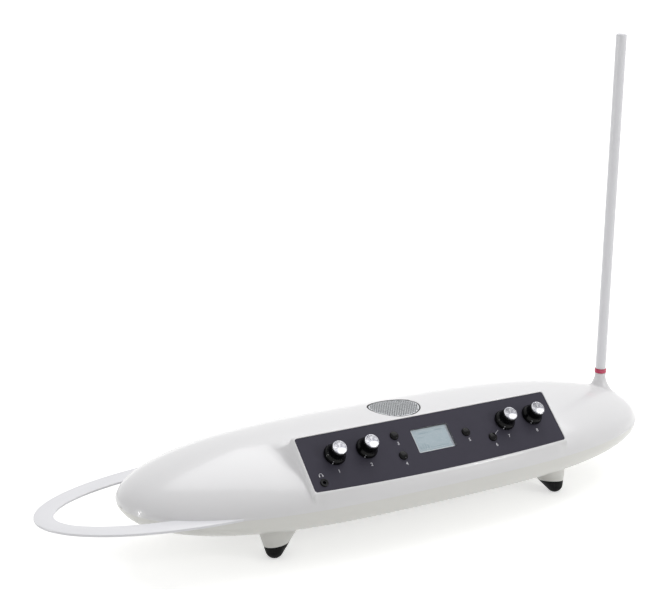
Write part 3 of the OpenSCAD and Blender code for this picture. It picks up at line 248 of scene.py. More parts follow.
def surface_net(form, xs, ys, zs):
    """Quads of the form's surface, one point to each grid cell that the surface crosses."""
    grid = np.meshgrid(xs, ys, zs, indexing="ij")
    value = form(*grid)
    inside = value < 0
    cells = tuple(n - 1 for n in value.shape)
    total = np.zeros(cells + (3,))
    count = np.zeros(cells)
    for axis in range(3):
        a, b = [slice(None)] * 3, [slice(None)] * 3
        a[axis], b[axis] = slice(None, -1), slice(1, None)
        a, b = tuple(a), tuple(b)
        crossed = inside[a] != inside[b]
        t = np.where(crossed, value[a] / np.where(crossed, value[a] - value[b], 1), 0)
        point = np.stack([g[a] + (g[b] - g[a]) * t for g in grid], -1) * crossed[..., None]
        u, w = (i for i in range(3) if i != axis)
        for m in (0, 1):
            for n in (0, 1):
                part = [slice(None)] * 3
                part[u], part[w] = slice(m, cells[u] + m), slice(n, cells[w] + n)
                total += point[tuple(part)]
                count += crossed[tuple(part)]
    used = count > 0
    index = -np.ones(cells, int)
    index[used] = np.arange(used.sum())
    points = total[used] / count[used][:, None]
    quads = []
    for axis, (u, w) in enumerate(((1, 2), (2, 0), (0, 1))):
        a, b = [slice(1, -1)] * 3, [slice(1, -1)] * 3
        a[axis], b[axis] = slice(None, -1), slice(1, None)
        first, second = inside[tuple(a)], inside[tuple(b)]
        spots = np.argwhere(first != second)
        corners = []
        for du, dw in ((0, 0), (1, 0), (1, 1), (0, 1)):
            cell = spots.copy()
            cell[:, u] += du
            cell[:, w] += dw
            corners.append(index[tuple(cell.T)])
        quad = np.stack(corners, 1)
        flip = ~first[tuple(spots.T)]
        quad[flip] = quad[flip][:, ::-1]
        quads.append(quad)
    reach = np.array([HALF_LENGTH, HALF_DEPTH, np.inf])
    return np.clip(settle(form, points), -reach, reach), np.concatenate(quads)


def link_object(name, data):
    """A new object in the scene."""
    obj = bpy.data.objects.new(name, data)
    bpy.context.scene.collection.objects.link(obj)
    return obj


def add_mesh(name, points, faces, smooth=True):
    """A mesh object from points in millimetres."""
    mesh = bpy.data.meshes.new(name)
    mesh.from_pydata((np.asarray(points) * MM).tolist(), [], [list(map(int, f)) for f in faces])
    mesh.update()
    mesh.shade_smooth() if smooth else mesh.shade_flat()
    return link_object(name, mesh)


def edit(obj, change):
    """Makes a change to the object's mesh as a bmesh."""
    bm = bmesh.new()
    bm.from_mesh(obj.data)
    change(bm)
    bm.to_mesh(obj.data)
    bm.free()
    return obj


def outward(obj):
    """Turns the faces' normals outward."""
    return edit(obj, lambda bm: bmesh.ops.recalc_face_normals(bm, faces=bm.faces))


def sharpen(obj, degrees):
    """Smooth shading, with the edges over this angle kept sharp."""
    def mark(bm):
        for e in bm.edges:
            e.smooth = len(e.link_faces) == 2 and e.calc_face_angle(0) < math.radians(degrees)

    obj.data.shade_smooth()
    return edit(obj, mark)


def mesh_of(obj):
    """A mesh of the object as its modifiers leave it."""
    bpy.context.view_layer.update()
    seen = obj.evaluated_get(bpy.context.evaluated_depsgraph_get())
    return bpy.data.meshes.new_from_object(seen)


def apply_modifiers(obj):
    mesh = mesh_of(obj)
    obj.modifiers.clear()
    obj.data = mesh


def cut(obj, cutters):
    """Takes the cutters out of the object, and removes them."""
    for i, tool in enumerate(cutters):
        m = obj.modifiers.new(f"cut_{i}", "BOOLEAN")
        m.operation, m.solver, m.object = "DIFFERENCE", "EXACT", tool
    apply_modifiers(obj)
    for tool in cutters:
        bpy.data.objects.remove(tool)


def keep_skin(obj, form, limits):
    """Keeps only the faces on the form's surface, trimmed by planes, and shades them by its slope.

    Each limit is a point and a normal, and a test for the faces it trims, or None for all.
    """
    def trim(bm):
        centres = np.array([f.calc_center_median() for f in bm.faces]) / MM
        off = np.abs(form(*centres.T)) > SKIN_TOLERANCE
        bmesh.ops.delete(bm, geom=[f for f, o in zip(bm.faces, off) if o], context="FACES")
        for point, normal, near in limits:
            chosen = [f for f in bm.faces
                      if near is None or near(np.array(f.calc_center_median()) / MM)]
            parts = {v for f in chosen for v in f.verts} | {e for f in chosen for e in f.edges}
            bmesh.ops.bisect_plane(bm, geom=list(parts | set(chosen)), plane_co=Vector(point) * MM,
                                   plane_no=Vector(normal), clear_outer=True, dist=1e-7)

    edit(obj, trim)
    normals = gradient(form, np.array([v.co for v in obj.data.vertices]) / MM)
    normals /= np.linalg.norm(normals, axis=1, keepdims=True)
    obj.data.shade_smooth()
    obj.data.normals_split_custom_set_from_vertices(normals.tolist())


def onto(form, points, way, reach=40.0):
    """Where the form's surface lies along way from each point, looked for within the reach."""
    way = np.asarray(way, float)
    low, high = np.full(len(points), -reach), np.full(len(points), reach)
    for _ in range(40):
        mid = (low + high) / 2
        outside = form(*(points + mid[:, None] * way).T) > 0
        high = np.where(outside, mid, high)
        low = np.where(outside, low, mid)
    return points + ((low + high) / 2)[:, None] * way


def strip(name, rows, closed=True):
    """Quads between rows of points."""
    n = len(rows[0])
    last = n if closed else n - 1
    faces = [(r * n + i, r * n + (i + 1) % n, (r + 1) * n + (i + 1) % n, (r + 1) * n + i)
             for r in range(len(rows) - 1) for i in range(last)]
    return add_mesh(name, np.concatenate(rows), faces)


def rounded_rect(w, h, r, grow, arc=8, along=14):
    """Outline of a rounded rectangle grown by a distance, with points along its sides too."""
    out = []
    hw, hh, rr = w / 2 + grow, h / 2 + grow, r + grow
    corners = [(hw - rr, hh - rr), (rr - hw, hh - rr), (rr - hw, rr - hh), (hw - rr, rr - hh)]

    def on_arc(k, turn):
        a = math.radians(90 * k + turn)
        return np.array(corners[k]) + [rr * math.cos(a), rr * math.sin(a)]

    for k in range(4):
        out += [on_arc(k, 90 * i / arc) for i in range(arc + 1)]
        begin, end = out[-1], on_arc((k + 1) % 4, 0)
        out += [begin + (end - begin) * i / along for i in range(1, along)]
    return np.array(out)


def circle(r, steps=96):
    a = np.linspace(0, 2 * math.pi, steps, endpoint=False)
    return np.stack([np.cos(a), np.sin(a)], 1) * r


def bow(x):
    """How far the panel's lower edge curves down, from its ends to its middle."""
    return PANEL_BOW * np.maximum(1 - (x / (PANEL_W / 2)) ** 2, 0)


def panel_outline(grow):
    """Outline of the panel's recess, grown by a distance."""
    out = rounded_rect(PANEL_W + PANEL_FIT, PANEL_H + PANEL_FIT, PANEL_CORNER, grow)
    low = out[:, 1] < 0
    out[low, 1] -= bow(out[low, 0]) * smooth_step(-out[low, 1], PANEL_H / 2 - 4, PANEL_H / 2 - 1)
    return out


def level(z, dx=0.0, dy=0.0):
    """A function that puts points at height z, moved by dx and dy."""
    return lambda p: np.stack([p[:, 0] + dx, p[:, 1] + dy, np.full(len(p), z)], 1)


def on_panel(points, w=0.0):
    """2D points of the panel's own plane, put in space at height w above its face."""
    points = np.asarray(points, float)
    out = np.empty((len(points), 3))
    out[:, 0] = points[:, 0]
    out[:, 1] = PANEL_Y + points[:, 1] * UP_SLOPE[0] + w * OUT_OF_PANEL[0]
    out[:, 2] = PANEL_Z + points[:, 1] * UP_SLOPE[1] + w * OUT_OF_PANEL[1]
    return out


def opening(name, form, outline, place, way, edge, floor):
    """An opening with a rounded edge: its cutter, and the strip that lines it.

    outline(grow) gives 2D points, place(points) puts them in space, way points out of the body,
    and floor is how deep the lining goes below the surface, or a function of its points.
    """
    way = np.asarray(way, float)
    start = onto(form, place(outline(edge)), way)
    lip = onto(form, place(outline(0)), way)
    hidden = onto(form, place(outline(edge + HIDDEN_REACH)), way) - HIDDEN_SINK * way
    foot = lip - edge * way
    rows = [hidden, start] + [bend(start, lip, foot, i / 5) for i in range(1, 6)]
    rows.append(floor(foot) if callable(floor) else foot - floor * way)
    lining = strip(name + "_lining", rows)
    n = len(start)
    faces = [(i, (i + 1) % n, n + (i + 1) % n, n + i) for i in range(n)]
    faces += [tuple(range(n))[::-1], tuple(range(n, 2 * n))]
    ends = np.concatenate([start - CUT_BELOW * way, start + CUT_ABOVE * way])
    return outward(add_mesh(name + "_cutter", ends, faces)), lining


# ---- materials ----


def set_sockets(node, **values):
    """Sets a node's input values; _ stands for a space in a socket's name."""
    for name, value in values.items():
        node.inputs[name.replace("_", " ")].default_value = value
    return node


def add_node(tree, kind, **values):
    return set_sockets(tree.nodes.new("ShaderNode" + kind), **values)


def wire(tree, *links):
    """Joins sockets: each link is a node, its output, a node and its input."""
    for source, out, target, socket in links:
        tree.links.new(source.outputs[out], target.inputs[socket])


ROUGH_SPREAD, COAT_ROUGH = 0.05, 0.08


def material(name, color, rough, vary=0.04, bump=0.05, grain=900, depth=0.02, metal=0.0, coat=0.0,
             stretch=(1, 1, 1), alpha=1.0, specular=0.5, ior=1.5):
    """Procedural surface: colour, roughness and relief each vary with noise of a real size.

    The fine noise has about grain cells to the metre, the coarse one a thirtieth of that. vary is
    the colour's share of change, bump and depth are the relief's strength and height.
    """
    m = bpy.data.materials.new(name)
    m.use_nodes = True
    tree = m.node_tree
    shader = set_sockets(
        tree.nodes["Principled BSDF"], Metallic=metal, Coat_Weight=coat, Coat_Roughness=COAT_ROUGH,
        Specular_IOR_Level=specular, Alpha=alpha, IOR=ior)
    place, scale = add_node(tree, "TexCoord"), add_node(tree, "Mapping", Scale=stretch)
    fine = add_node(tree, "TexNoise", Scale=grain, Detail=3)
    spread = add_node(tree, "MapRange", To_Min=max(0.02, rough - ROUGH_SPREAD),
                      To_Max=rough + ROUGH_SPREAD)
    relief = add_node(tree, "Bump", Strength=bump, Distance=depth * MM)
    wire(tree, (place, "Object", scale, "Vector"), (scale, "Vector", fine, "Vector"),
         (fine, "Fac", spread, "Value"), (spread, "Result", shader, "Roughness"),
         (fine, "Fac", relief, "Height"), (relief, "Normal", shader, "Normal"))
    if color:
        coarse = add_node(tree, "TexNoise", Scale=grain / 30, Detail=3)
        tint = add_node(tree, "Mix")
        tint.data_type = "RGBA"
        set_sockets(tint, A=[c * (1 - vary) for c in color] + [1],
                    B=[min(1, c * (1 + vary)) for c in color] + [1])
        wire(tree, (scale, "Vector", coarse, "Vector"), (coarse, "Fac", tint, "Factor"),
             (tint, "Result", shader, "Base Color"))
    return m


def spun_material():
    """Aluminium with fine turning marks, its colour painted lighter or darker from one direction to
    the next as painted reflection streaks.
    """
    m = material("spun_cap_painted_reflection", None, 0.2, metal=1.0, bump=0.03, grain=2500)
    tree = m.node_tree
    shader = set_sockets(tree.nodes["Principled BSDF"], Anisotropic=0.6)
    tangent, place = add_node(tree, "Tangent"), add_node(tree, "UVMap")
    tangent.direction_type = "UV_MAP"
    stretch = add_node(tree, "Mapping", Scale=(1.0, 0.12, 1.0))
    # Painted reflection: noise along the turn sets the base colour in light and dark streaks
    reflection_fan, tint = add_node(tree, "TexNoise", Scale=7.0), add_node(tree, "ValToRGB")
    dark, light = tint.color_ramp.elements
    dark.position, dark.color = 0.36, (0.17, 0.17, 0.19, 1)
    light.position, light.color = 0.62, (0.47, 0.47, 0.49, 1)
    wire(tree, (tangent, "Tangent", shader, "Tangent"), (place, "UV", stretch, "Vector"),
         (stretch, "Vector", reflection_fan, "Vector"), (reflection_fan, "Fac", tint, "Fac"),
         (tint, "Color", shader, "Base Color"))
    return m


# Each look's name, colour, roughness, change of colour, relief and grain
WHITE = material("white_gloss", (0.8, 0.796, 0.807), 0.3, 0.012, 0.1, 700, coat=0.35, depth=0.03)
# The lower shell's white is a darker, warmer copy of the upper one's: painted shade
WHITE_LOW_PAINTED_SHADE = material("white_gloss_low_painted_shade", (0.78, 0.775, 0.745), 0.32, 0.012, 0.1, 700, coat=0.3,
                     depth=0.03)
PANEL = material("panel_satin", (0.053, 0.05, 0.068), 0.5, 0.05, 0.2, 3200, depth=0.01,
                 specular=0.3, ior=1.25)
BLACK_GLOSS = material("black_gloss", (0.003, 0.003, 0.0035), 0.13, 0.2, 0.03, 1200, ior=1.24)
BLACK_SATIN = material("black_satin", (0.008, 0.008, 0.01), 0.38, 0.2, 0.2, 2000, ior=1.25)
SPUN_CAP_PAINTED_REFLECTION = spun_material()
# Darker copy of the caps' metal for their sides: painted shade
CAP_SIDE_PAINTED_SHADE = material("cap_side_painted_shade", (0.3, 0.3, 0.33), 0.3, 0.06, 0.08, 1800, metal=1.0)
SPUN = material("spun_aluminium", (0.86, 0.86, 0.88), 0.24, 0.04, 0.08, 1500, metal=1.0)
ANTENNA = material("antenna_paint", (0.85, 0.85, 0.88), 0.34, 0.02, 0.12, 1100, coat=0.2)
CRIMSON = material("crimson_ring", (0.56, 0.02, 0.09), 0.25, 0.08, coat=0.5)
RUBBER = material("rubber", (0.005, 0.005, 0.0055), 0.5, 0.25, 0.4, 1800, depth=0.04, ior=1.2)
MESH_GREY = material("grille_paint", (0.6, 0.62, 0.64), 0.42, 0.05, 0.1, 1500, metal=0.2)
DARK = material("speaker_dark_and_recess_shade", (0.014, 0.014, 0.015), 0.7, 0.3, 0.6, 900, depth=0.1)
DISPLAY = material("display_glass", (0.34, 0.435, 0.49), 0.3, 0.06, 0.02, 300, coat=0.2)
DISPLAY_INK = material("display_ink", (0.235, 0.325, 0.37), 0.3, 0.05, 0.02)
# Painted highlight of the display window's bevel
DISPLAY_EDGE_HIGHLIGHT = material("display_edge_highlight", (0.7, 0.74, 0.76), 0.35, 0.05, 0.02)
# Painted shade of the display window's right wall
DISPLAY_SIDE_PAINTED_SHADE = material("display_side_painted_shade", (0.29, 0.31, 0.37), 0.35, 0.05, 0.02)
PANE = material("window_pane", (0.9, 0.95, 0.96), 0.06, 0.01, 0.0, 300, alpha=0.06, specular=0.3)
PRINT = material("print_white", (0.62, 0.62, 0.66), 0.5, 0.05, 0.1, 2500)
STEEL = material("plated_steel", (0.62, 0.62, 0.64), 0.3, 0.06, 0.15, 1400, metal=1.0,
                 stretch=(1, 6, 1))
HOUSING = material("pressed_housing", (0.2, 0.2, 0.22), 0.45, 0.1, 0.15, 1200, metal=0.6)
FERRITE = material("ferrite", (0.07, 0.07, 0.075), 0.6, 0.2, 0.6, 1600, depth=0.08)
BRASS = material("turned_brass", (0.72, 0.53, 0.24), 0.3, 0.06, 0.12, 1400, metal=1.0,
                 stretch=(1, 1, 9))
BOARD = material("solder_mask", (0.015, 0.1, 0.045), 0.3, 0.15, 0.2, 1100, coat=0.3)
LEAD = material("red_lead", (0.45, 0.02, 0.02), 0.4, 0.08, 0.1, 1600)
RIBBON = material("ribbon_grey", (0.36, 0.38, 0.42), 0.42, 0.08, 0.4, 800, depth=0.1,
                  stretch=(6, 1, 1))

KNOBS = ["outer_left", "inner_left", "inner_right", "outer_right"]
BUTTONS = ["upper_left", "lower_left", "upper_right", "lower_right"]
# The CAD nodes that have each look, by the ends of their names
CAD_LOOKS = {
    WHITE: "_shell", PANEL: "control_panel rear_plate", PANE: "lcd_window", DISPLAY: "lcd_glass",
    BLACK_SATIN: "lcd_frame _switches _switch _jack _jacks power_inlet speaker_lead",
    BLACK_GLOSS: "_knob _button headphone_nut", SPUN: "_knob_cap",
    STEEL: "_shaft _nuts _screws usb_socket stand_insert", BOARD: "_board", RUBBER: "_foot",
    HOUSING: "_potentiometer _encoder", ANTENNA: "pitch_antenna volume_loop",
    DARK: "speaker_basket speaker_cone", MESH_GREY: "speaker_grille", FERRITE: "speaker_magnet",
    BRASS: "antenna_socket", CRIMSON: "antenna_ring", LEAD: "antenna_leads",
    RIBBON: "ribbon_cable",
}
for look, endings in CAD_LOOKS.items():
    for name, node in nodes.items():
        if name.endswith(tuple(endings.split())):
            node.data.materials.clear()
            node.data.materials.append(look)

slot_of = {part["node"]: part["material_slot"] for part in frame["record"]["subparts"]}
body_of = {name: body for body, names in frame["record"]["behaviour"]["bodies"].items()
           for name in names}


def dress(obj, look, body, slot, *stands_for):
    """Gives a piece its look and its body, and hides the CAD nodes it stands for. The slot is not
    used.
    """
    obj.data.materials.clear()
    obj.data.materials.append(look)
    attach(obj, body)
    if stands_for:
        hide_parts(*stands_for)
    return obj


# ---- shells ----

TIP_X = HALF_LENGTH + 3
# Recesses: the room round what lies in them, the rounding of their edge, their depth, and how far
# below its rim the grille's recess is painted dark, as painted shade in the recess
RECESS_EDGE, RECESS_DEPTH = 0.4, 3.4
GRILLE_ROOM, GRILLE_EDGE, GRILLE_FLOOR, GRILLE_SHADE_DEPTH = 0.1, 0.7, 0.5, 1.0
PLATE_ROOM, PLATE_CORNER, PLATE_EDGE = 0.2, 0.6, 0.5
NEAR_BELLY_Z = 30.0  # the holes below look for the surface from this height
LEG_TOP_Z = 24  # the planes that end the legs trim nothing over this height
# Round holes below: name, place, points round it, radius, rounding of the edge, depth
BELOW = [(f"screw_hole_{k}", at, 32, 3.2, 0.35, 18) for k, at in enumerate(
    [(sx * 215, sy * 45) for sx, sy in FOUR_WAYS] + [(115, 80), (-115, 80)])]
BELOW.append(("stand_hole", (0, 0), 64, 15.1, 0.4, 1.6))


def steps(*stretches):
    """Grid lines: each stretch is (from, to, spacing)."""
    lines = [np.arange(a, b, s) for a, b, s in stretches]
    return np.unique(np.round(np.concatenate(lines + [[stretches[-1][1]]]), 4))


def seam_strip(name, smaller, rows, n=260):
    """The edge of a shell along the seam.

    The shell's outline is smaller than the body's by a distance. Each row is how far inside that
    outline it lies, and its height over the seam.
    """
    u = np.sin(np.linspace(-math.pi / 2, math.pi / 2, n))
    x = (HALF_LENGTH - smaller) * u
    y = (HALF_DEPTH - smaller) * np.maximum(1 - np.abs(u) ** LENGTH_POWER, 0) ** (1 / DEPTH_POWER)
    ring = np.concatenate([np.stack([x, -y], 1), np.stack([x, y], 1)[-2:0:-1]])
    along = np.roll(ring, -1, 0) - np.roll(ring, 1, 0)
    normal = np.stack([along[:, 1], -along[:, 0]], 1)
    normal /= np.linalg.norm(normal, axis=1, keepdims=True)
    return strip(name, [level(SEAM_Z + rise)(ring - normal * inset) for inset, rise in rows])


def finish_shell(node, form, look, shell, openings, limits, smaller, rows):
    """Cuts the openings, trims the skin, and dresses it, the openings' linings and the edge."""
    cut(shell, [cutter for cutter, lining in openings])
    keep_skin(shell, form, limits)
    edge = seam_strip(node + "_edge", smaller, rows)
    dress(shell, look, "case", slot_of[node], node)
    for part in [lining for cutter, lining in openings] + [edge]:
        dress(sharpen(part, 60), look, "case", slot_of[node])


def make_top_shell():
    xs = steps((-TIP_X, -306, 0.8), (-306, -176, 2.7), (-176, -150, 1.1), (-150, 150, 3.0),
               (150, 176, 1.1), (176, 258, 2.7), (258, 306, 1.2), (306, TIP_X, 0.8))
    ys = steps((-112, -100, 1.0), (-100, -30, 1.1), (-30, 30, 1.6), (30, 90, 2.4), (90, 112, 1.4))
    zs = steps((SEAM_Z - 3.3, SEAM_Z + 66, 1.1))
    shell = outward(add_mesh("top_shell_skin", *surface_net(top_form, xs, ys, zs)))
    pocket = opening("panel_recess", top_form, panel_outline, on_panel, PANEL_OUT,
                     RECESS_EDGE, RECESS_DEPTH)
    hole = opening(
        "grille_recess", top_form, lambda grow: circle(GRILLE_R + GRILLE_ROOM + grow),
        level(GRILLE_TOP, dy=GRILLE_Y), (0, 0, 1), GRILLE_EDGE, level(GRILLE_TOP - GRILLE_FLOOR))
    # The edge's first rows lie just under the skin, and show only where it ends at the tips
    rows = [(2.0, 3.2), (1.2, 1.8), (0.4, 0.9), (0.05, 0.6), (0.0, SEAM_TRIM), (0.04, 0.1),
            (0.15, 0), (2.5, 0)]
    finish_shell("top_shell", top_form, WHITE, shell, [pocket, hole],
                 [((0, 0, SEAM_Z + SEAM_TRIM), (0, 0, -1), None)], 0.0, rows)
    # The rim's height is taken at its right side
    side = onto(top_form, np.array([[GRILLE_R + GRILLE_ROOM, GRILLE_Y, GRILLE_TOP]]), (0, 0, 1))
    lining = hole[1].data
    # Painted shade: the recess's white wall below its rim takes the dark material
    lining.materials.append(DARK)
    for face in lining.polygons:
        if face.center[2] / MM < side[0, 2] - GRILLE_SHADE_DEPTH:
            face.material_index = 1


def joint_plane(sx, sy):
    """Point and outward normal of the plane between a leg and its rubber foot."""
    up = (RUBBER_H - FOOT_R) / math.cos(LEG_LEAN)
    across = -math.sin(LEG_LEAN) * up
    normal = RUBBER_TILT @ Vector((0, 0, -1))
    return ((sx * (FOOT_X + across * math.cos(LEG_HEADING)),
             sy * (FOOT_Y + across * math.sin(LEG_HEADING)), FOOT_Z + math.cos(LEG_LEAN) * up),
            (normal[0] * sx, normal[1] * -sy, normal[2]))


def make_bottom_shell():
    xs = steps((-TIP_X, -306, 0.8), (-306, -200, 2.8), (-200, -130, 1.3), (-130, 130, 3.2),
               (130, 200, 1.3), (200, 306, 2.8), (306, TIP_X, 0.8))
    ys = steps((-112, -86, 1.6), (-86, -28, 1.3), (-28, 28, 2.8), (28, 86, 1.3), (86, 112, 1.6))
    zs = steps((-2.0, 22, 1.3), (22, SEAM_Z + 3.3, 1.3))
    shell = outward(add_mesh("bottom_shell_skin", *surface_net(bottom_form, xs, ys, zs)))
    low, high = span("rear_plate")
    width, height = high[0] - low[0] + PLATE_ROOM, high[2] - low[2] + PLATE_ROOM
    mid_z = (low[2] + high[2]) / 2
    openings = [opening(
        "plate_recess", bottom_form,
        lambda grow: rounded_rect(width, height, PLATE_CORNER, grow, arc=5, along=20),
        lambda p: np.stack([p[:, 0], np.full(len(p), high[1]), p[:, 1] + mid_z], 1), (0, 1, 0),
        PLATE_EDGE, lambda foot: np.stack([foot[:, 0], np.full(len(foot), low[1]), foot[:, 2]], 1))]
    for name, at, count, r, edge, depth in BELOW:
        openings.append(opening(name, bottom_form, lambda grow: circle(r + grow, count),
                                level(NEAR_BELLY_Z, *at), (0, 0, -1), edge, depth))
    limits = [((0, 0, SEAM_Z - SEAM_TRIM), (0, 0, 1), None)]
    for sx, sy in FOUR_WAYS:
        limits.append((*joint_plane(sx, sy), lambda c, sx=sx, sy=sy: c[2] < LEG_TOP_Z
                       and c[0] * sx > 0 and c[1] * sy > 0))
    finish_shell("bottom_shell", bottom_form, WHITE_LOW_PAINTED_SHADE, shell, openings, limits, SEAM_STEP,
                 [(0.05, -0.8), (0.0, -0.2), (0.1, 0.02), (2.5, 0.05)])


def make_feet():
    """Rubber feet: the legs' own form carried on below the joint, flat where it stands."""
    for sx, sy in FOUR_WAYS:
        name = ("front" if sy < 0 else "rear") + ("_right" if sx > 0 else "_left") + "_foot"
        xs = sx * steps((FOOT_X - 26, FOOT_X + 20, 0.7))[::sx]
        ys = sy * steps((FOOT_Y - 26, FOOT_Y + 20, 0.7))[::sy]
        points, quads = surface_net(leg, xs, ys, steps((-1.4, 24, 0.7)))
        foot = outward(add_mesh(name + "_pad", points, quads))
        point, normal = joint_plane(sx, sy)
        keep_skin(foot, leg, [(point, tuple(-c for c in normal), None),
                              ((0, 0, 0.01), (0, 0, -1), None)])
        edit(foot, lambda bm: bmesh.ops.holes_fill(
            bm, edges=[e for e in bm.edges if e.is_boundary]))
        dress(sharpen(foot, 35), RUBBER, body_of[name], slot_of[name], name)


make_top_shell()
make_bottom_shell()
make_feet()


# ---- pieces made from their CAD solids, with rounded edges ----


def curve_lower_edge(bm):
    """Gives the panel's lower edge its curve."""
    for x in np.arange(-144, 145, 12):
        bmesh.ops.bisect_plane(bm, geom=bm.verts[:] + bm.edges[:] + bm.faces[:],
                               plane_co=(x * MM, 0, 0), plane_no=(1, 0, 0), dist=1e-7)
    for vertex in bm.verts:
        x, y, z = (c / MM for c in vertex.co)
        if (y - PANEL_Y) * UP_SLOPE[0] + (z - PANEL_Z) * UP_SLOPE[1] < 2.5 - PANEL_H / 2:
            vertex.co -= Vector((0, *UP_SLOPE)) * float(bow(x)) * MM


def softened(node, width, look, reshape=None):
    """A copy of a CAD solid's mesh with its edges rounded."""
    def clean(bm):
        bmesh.ops.remove_doubles(bm, verts=bm.verts, dist=2e-6)
        bmesh.ops.dissolve_limit(bm, angle_limit=math.radians(1), verts=bm.verts, edges=bm.edges)
        if reshape:
            reshape(bm)

    obj = edit(link_object(node + "_piece", nodes[node].data.copy()), clean)
    bevel = obj.modifiers.new("edges", "BEVEL")
    bevel.width, bevel.segments = width * MM, 2
    bevel.limit_method, bevel.angle_limit = "ANGLE", math.radians(35)
    apply_modifiers(obj)
    sharpen(obj, 32)
    obj.modifiers.new("flats", "WEIGHTED_NORMAL").keep_sharp = True
    apply_modifiers(obj)
    dress(obj, look, body_of[node], slot_of[node], node)


for node, width, look in (
        ("rear_plate", 0.25, PANEL), ("output_jack_nuts", 0.2, STEEL),
        ("output_jacks", 0.2, BLACK_SATIN), ("usb_socket", 0.12, STEEL),
        ("power_inlet", 0.2, BLACK_SATIN), ("stand_insert", 0.3, STEEL),
        ("shell_screws", 0.12, STEEL)):
    softened(node, width, look)
softened("control_panel", 0.18, PANEL, curve_lower_edge)


# ---- knobs, caps, buttons ----

SKIRT_R, SKIRT_H, GRIP_R, GRIP_H, KNOB_GAP = 12.0, 5.0, 8.3, 15.0, 0.6
CAP_R, CAP_PROUD, SHAFT_ROOM = 7.7, 1.5, 6.9
CAP_TOP = GRIP_H + CAP_PROUD
FLUTES, FLUTE_DEPTH = 27, 0.4
KNOB_V = 5.2
KNOB_U = {"outer_left": -120.5, "inner_left": -82.7, "inner_right": 92.3, "outer_right": 129.2}
BUTTON_AT = {"upper_left": (-45.6, 13), "lower_left": (-44.9, -10.7), "upper_right": (39.5, 1.2),
             "lower_right": (68.9, -10.7)}
POINTER = math.radians(-125)
MARK_HALF = 0.4  # half the width of the pointer marks


def turned(name, profile, at, count, relief=None):
    """A turned piece on the panel: profile is (radius, height) pairs, from its axis to its axis.

    relief(angle, radius, height) gives how far the surface moves out at a point.
    """
    points, faces, rows = [], [], []
    for r, h in profile:
        angles = np.linspace(0, 2 * math.pi, count if r else 1, endpoint=False)
        rows.append(range(len(points), len(points) + len(angles)))
        for a in angles:
            out = r + (relief(a, r, h) if relief else 0)
            points.append((out * math.cos(a), out * math.sin(a), h))
    for a, b in zip(rows, rows[1:]):
        for i in range(count):
            j = (i + 1) % count
            face = a[i % len(a)], b[i % len(b)], b[j % len(b)], a[j % len(a)]
            faces.append(tuple(dict.fromkeys(face)))  # a triangle beside the axis
    points = np.array(points)
    base = on_panel(points[:, :2] + np.array(at), points[:, 2])
    return sharpen(outward(add_mesh(name, base, faces)), 34)


def smooth_profile(*corners):
    """A profile from corners of (radius, height, rounding)."""
    out = []
    for i, (r, h, rounding) in enumerate(corners):
        if not rounding:
            out.append((r, h))
            continue
        corner, before, after = (np.array(corners[k][:2], float) for k in (i, i - 1, i + 1))
        a = corner + (before - corner) / np.linalg.norm(before - corner) * rounding
        b = corner + (after - corner) / np.linalg.norm(after - corner) * rounding
        out += [tuple(bend(a, corner, b, t)) for t in np.linspace(0, 1, 5)]
    return out


def flute(angle, r, h):
    """Shallow flutes round the grip, running out at both ends."""
    if r < GRIP_R - 0.3 or r > GRIP_R + 1.5:
        return 0.0
    ends = smooth_step(h, SKIRT_H + 1.2, SKIRT_H + 2.6) * smooth_step(GRIP_H - h, 0.5, 1.4)
    return -FLUTE_DEPTH * ends * max(0.0, math.cos(FLUTES * angle)) ** 1.5


def map_round(obj, at):
    """UV map that runs round a turned piece, so that its tangent follows the turning marks and the
    painted reflection streaks fan out from its middle.
    """
    layer = obj.data.uv_layers.new(name="round")
    centre = on_panel([at])[0]
    for loop in obj.data.loops:
        p = np.array(obj.data.vertices[loop.vertex_index].co) / MM - centre
        u, v = p[0], p[1] * UP_SLOPE[0] + p[2] * UP_SLOPE[1]
        layer.data[loop.index].uv = (math.atan2(v, u) / (2 * math.pi), math.hypot(u, v) / 10)


knob_profile = smooth_profile(
    (0, KNOB_GAP + 3.8, 0), (SHAFT_ROOM, KNOB_GAP + 3.8, 0), (SHAFT_ROOM, KNOB_GAP, 0),
    (SKIRT_R - 0.15, KNOB_GAP, 0.3), (SKIRT_R, KNOB_GAP + 1.1, 0.4),
    (SKIRT_R - 0.35, SKIRT_H / 2 + 0.3, 0.5), (SKIRT_R - 1.0, SKIRT_H - 0.6, 0.6),
    (GRIP_R + 1.9, SKIRT_H + 0.4, 0.5), (GRIP_R + 1.2, SKIRT_H + 1.8, 0.5),
    (GRIP_R + 0.8, SKIRT_H + 3.2, 0), (GRIP_R + 0.4, SKIRT_H + 6, 0), (GRIP_R, GRIP_H - 1.5, 0),
    (GRIP_R - 0.08, GRIP_H - 0.6, 0.2), (GRIP_R - 0.45, GRIP_H, 0.15), (CAP_R + 0.05, GRIP_H, 0),
    (CAP_R + 0.05, GRIP_H - 1.95, 0), (0, GRIP_H - 1.98, 0))
cap_profile = smooth_profile(
    (0, GRIP_H - 1.9, 0), (CAP_R, GRIP_H - 1.9, 0.1), (CAP_R, CAP_TOP - 0.02, 0.3),
    (CAP_R - 1.0, CAP_TOP, 0.12), (CAP_R - 1.35, CAP_TOP - 0.2, 0.12), (3.4, CAP_TOP - 0.28, 0.2),
    (0.5, CAP_TOP - 0.4, 0.1), (0, CAP_TOP - 0.4, 0))
button_profile = smooth_profile(
    (0, -4, 0), (5.5, -4, 0), (5.5, -3.3, 0), (4.8, -3.3, 0), (4.8, 1.0, 0.3), (4.5, 1.55, 0.3),
    (3.6, 2.04, 0.4), (2.2, 2.3, 0.3), (1.0, 2.38, 0.2), (0, 2.4, 0))

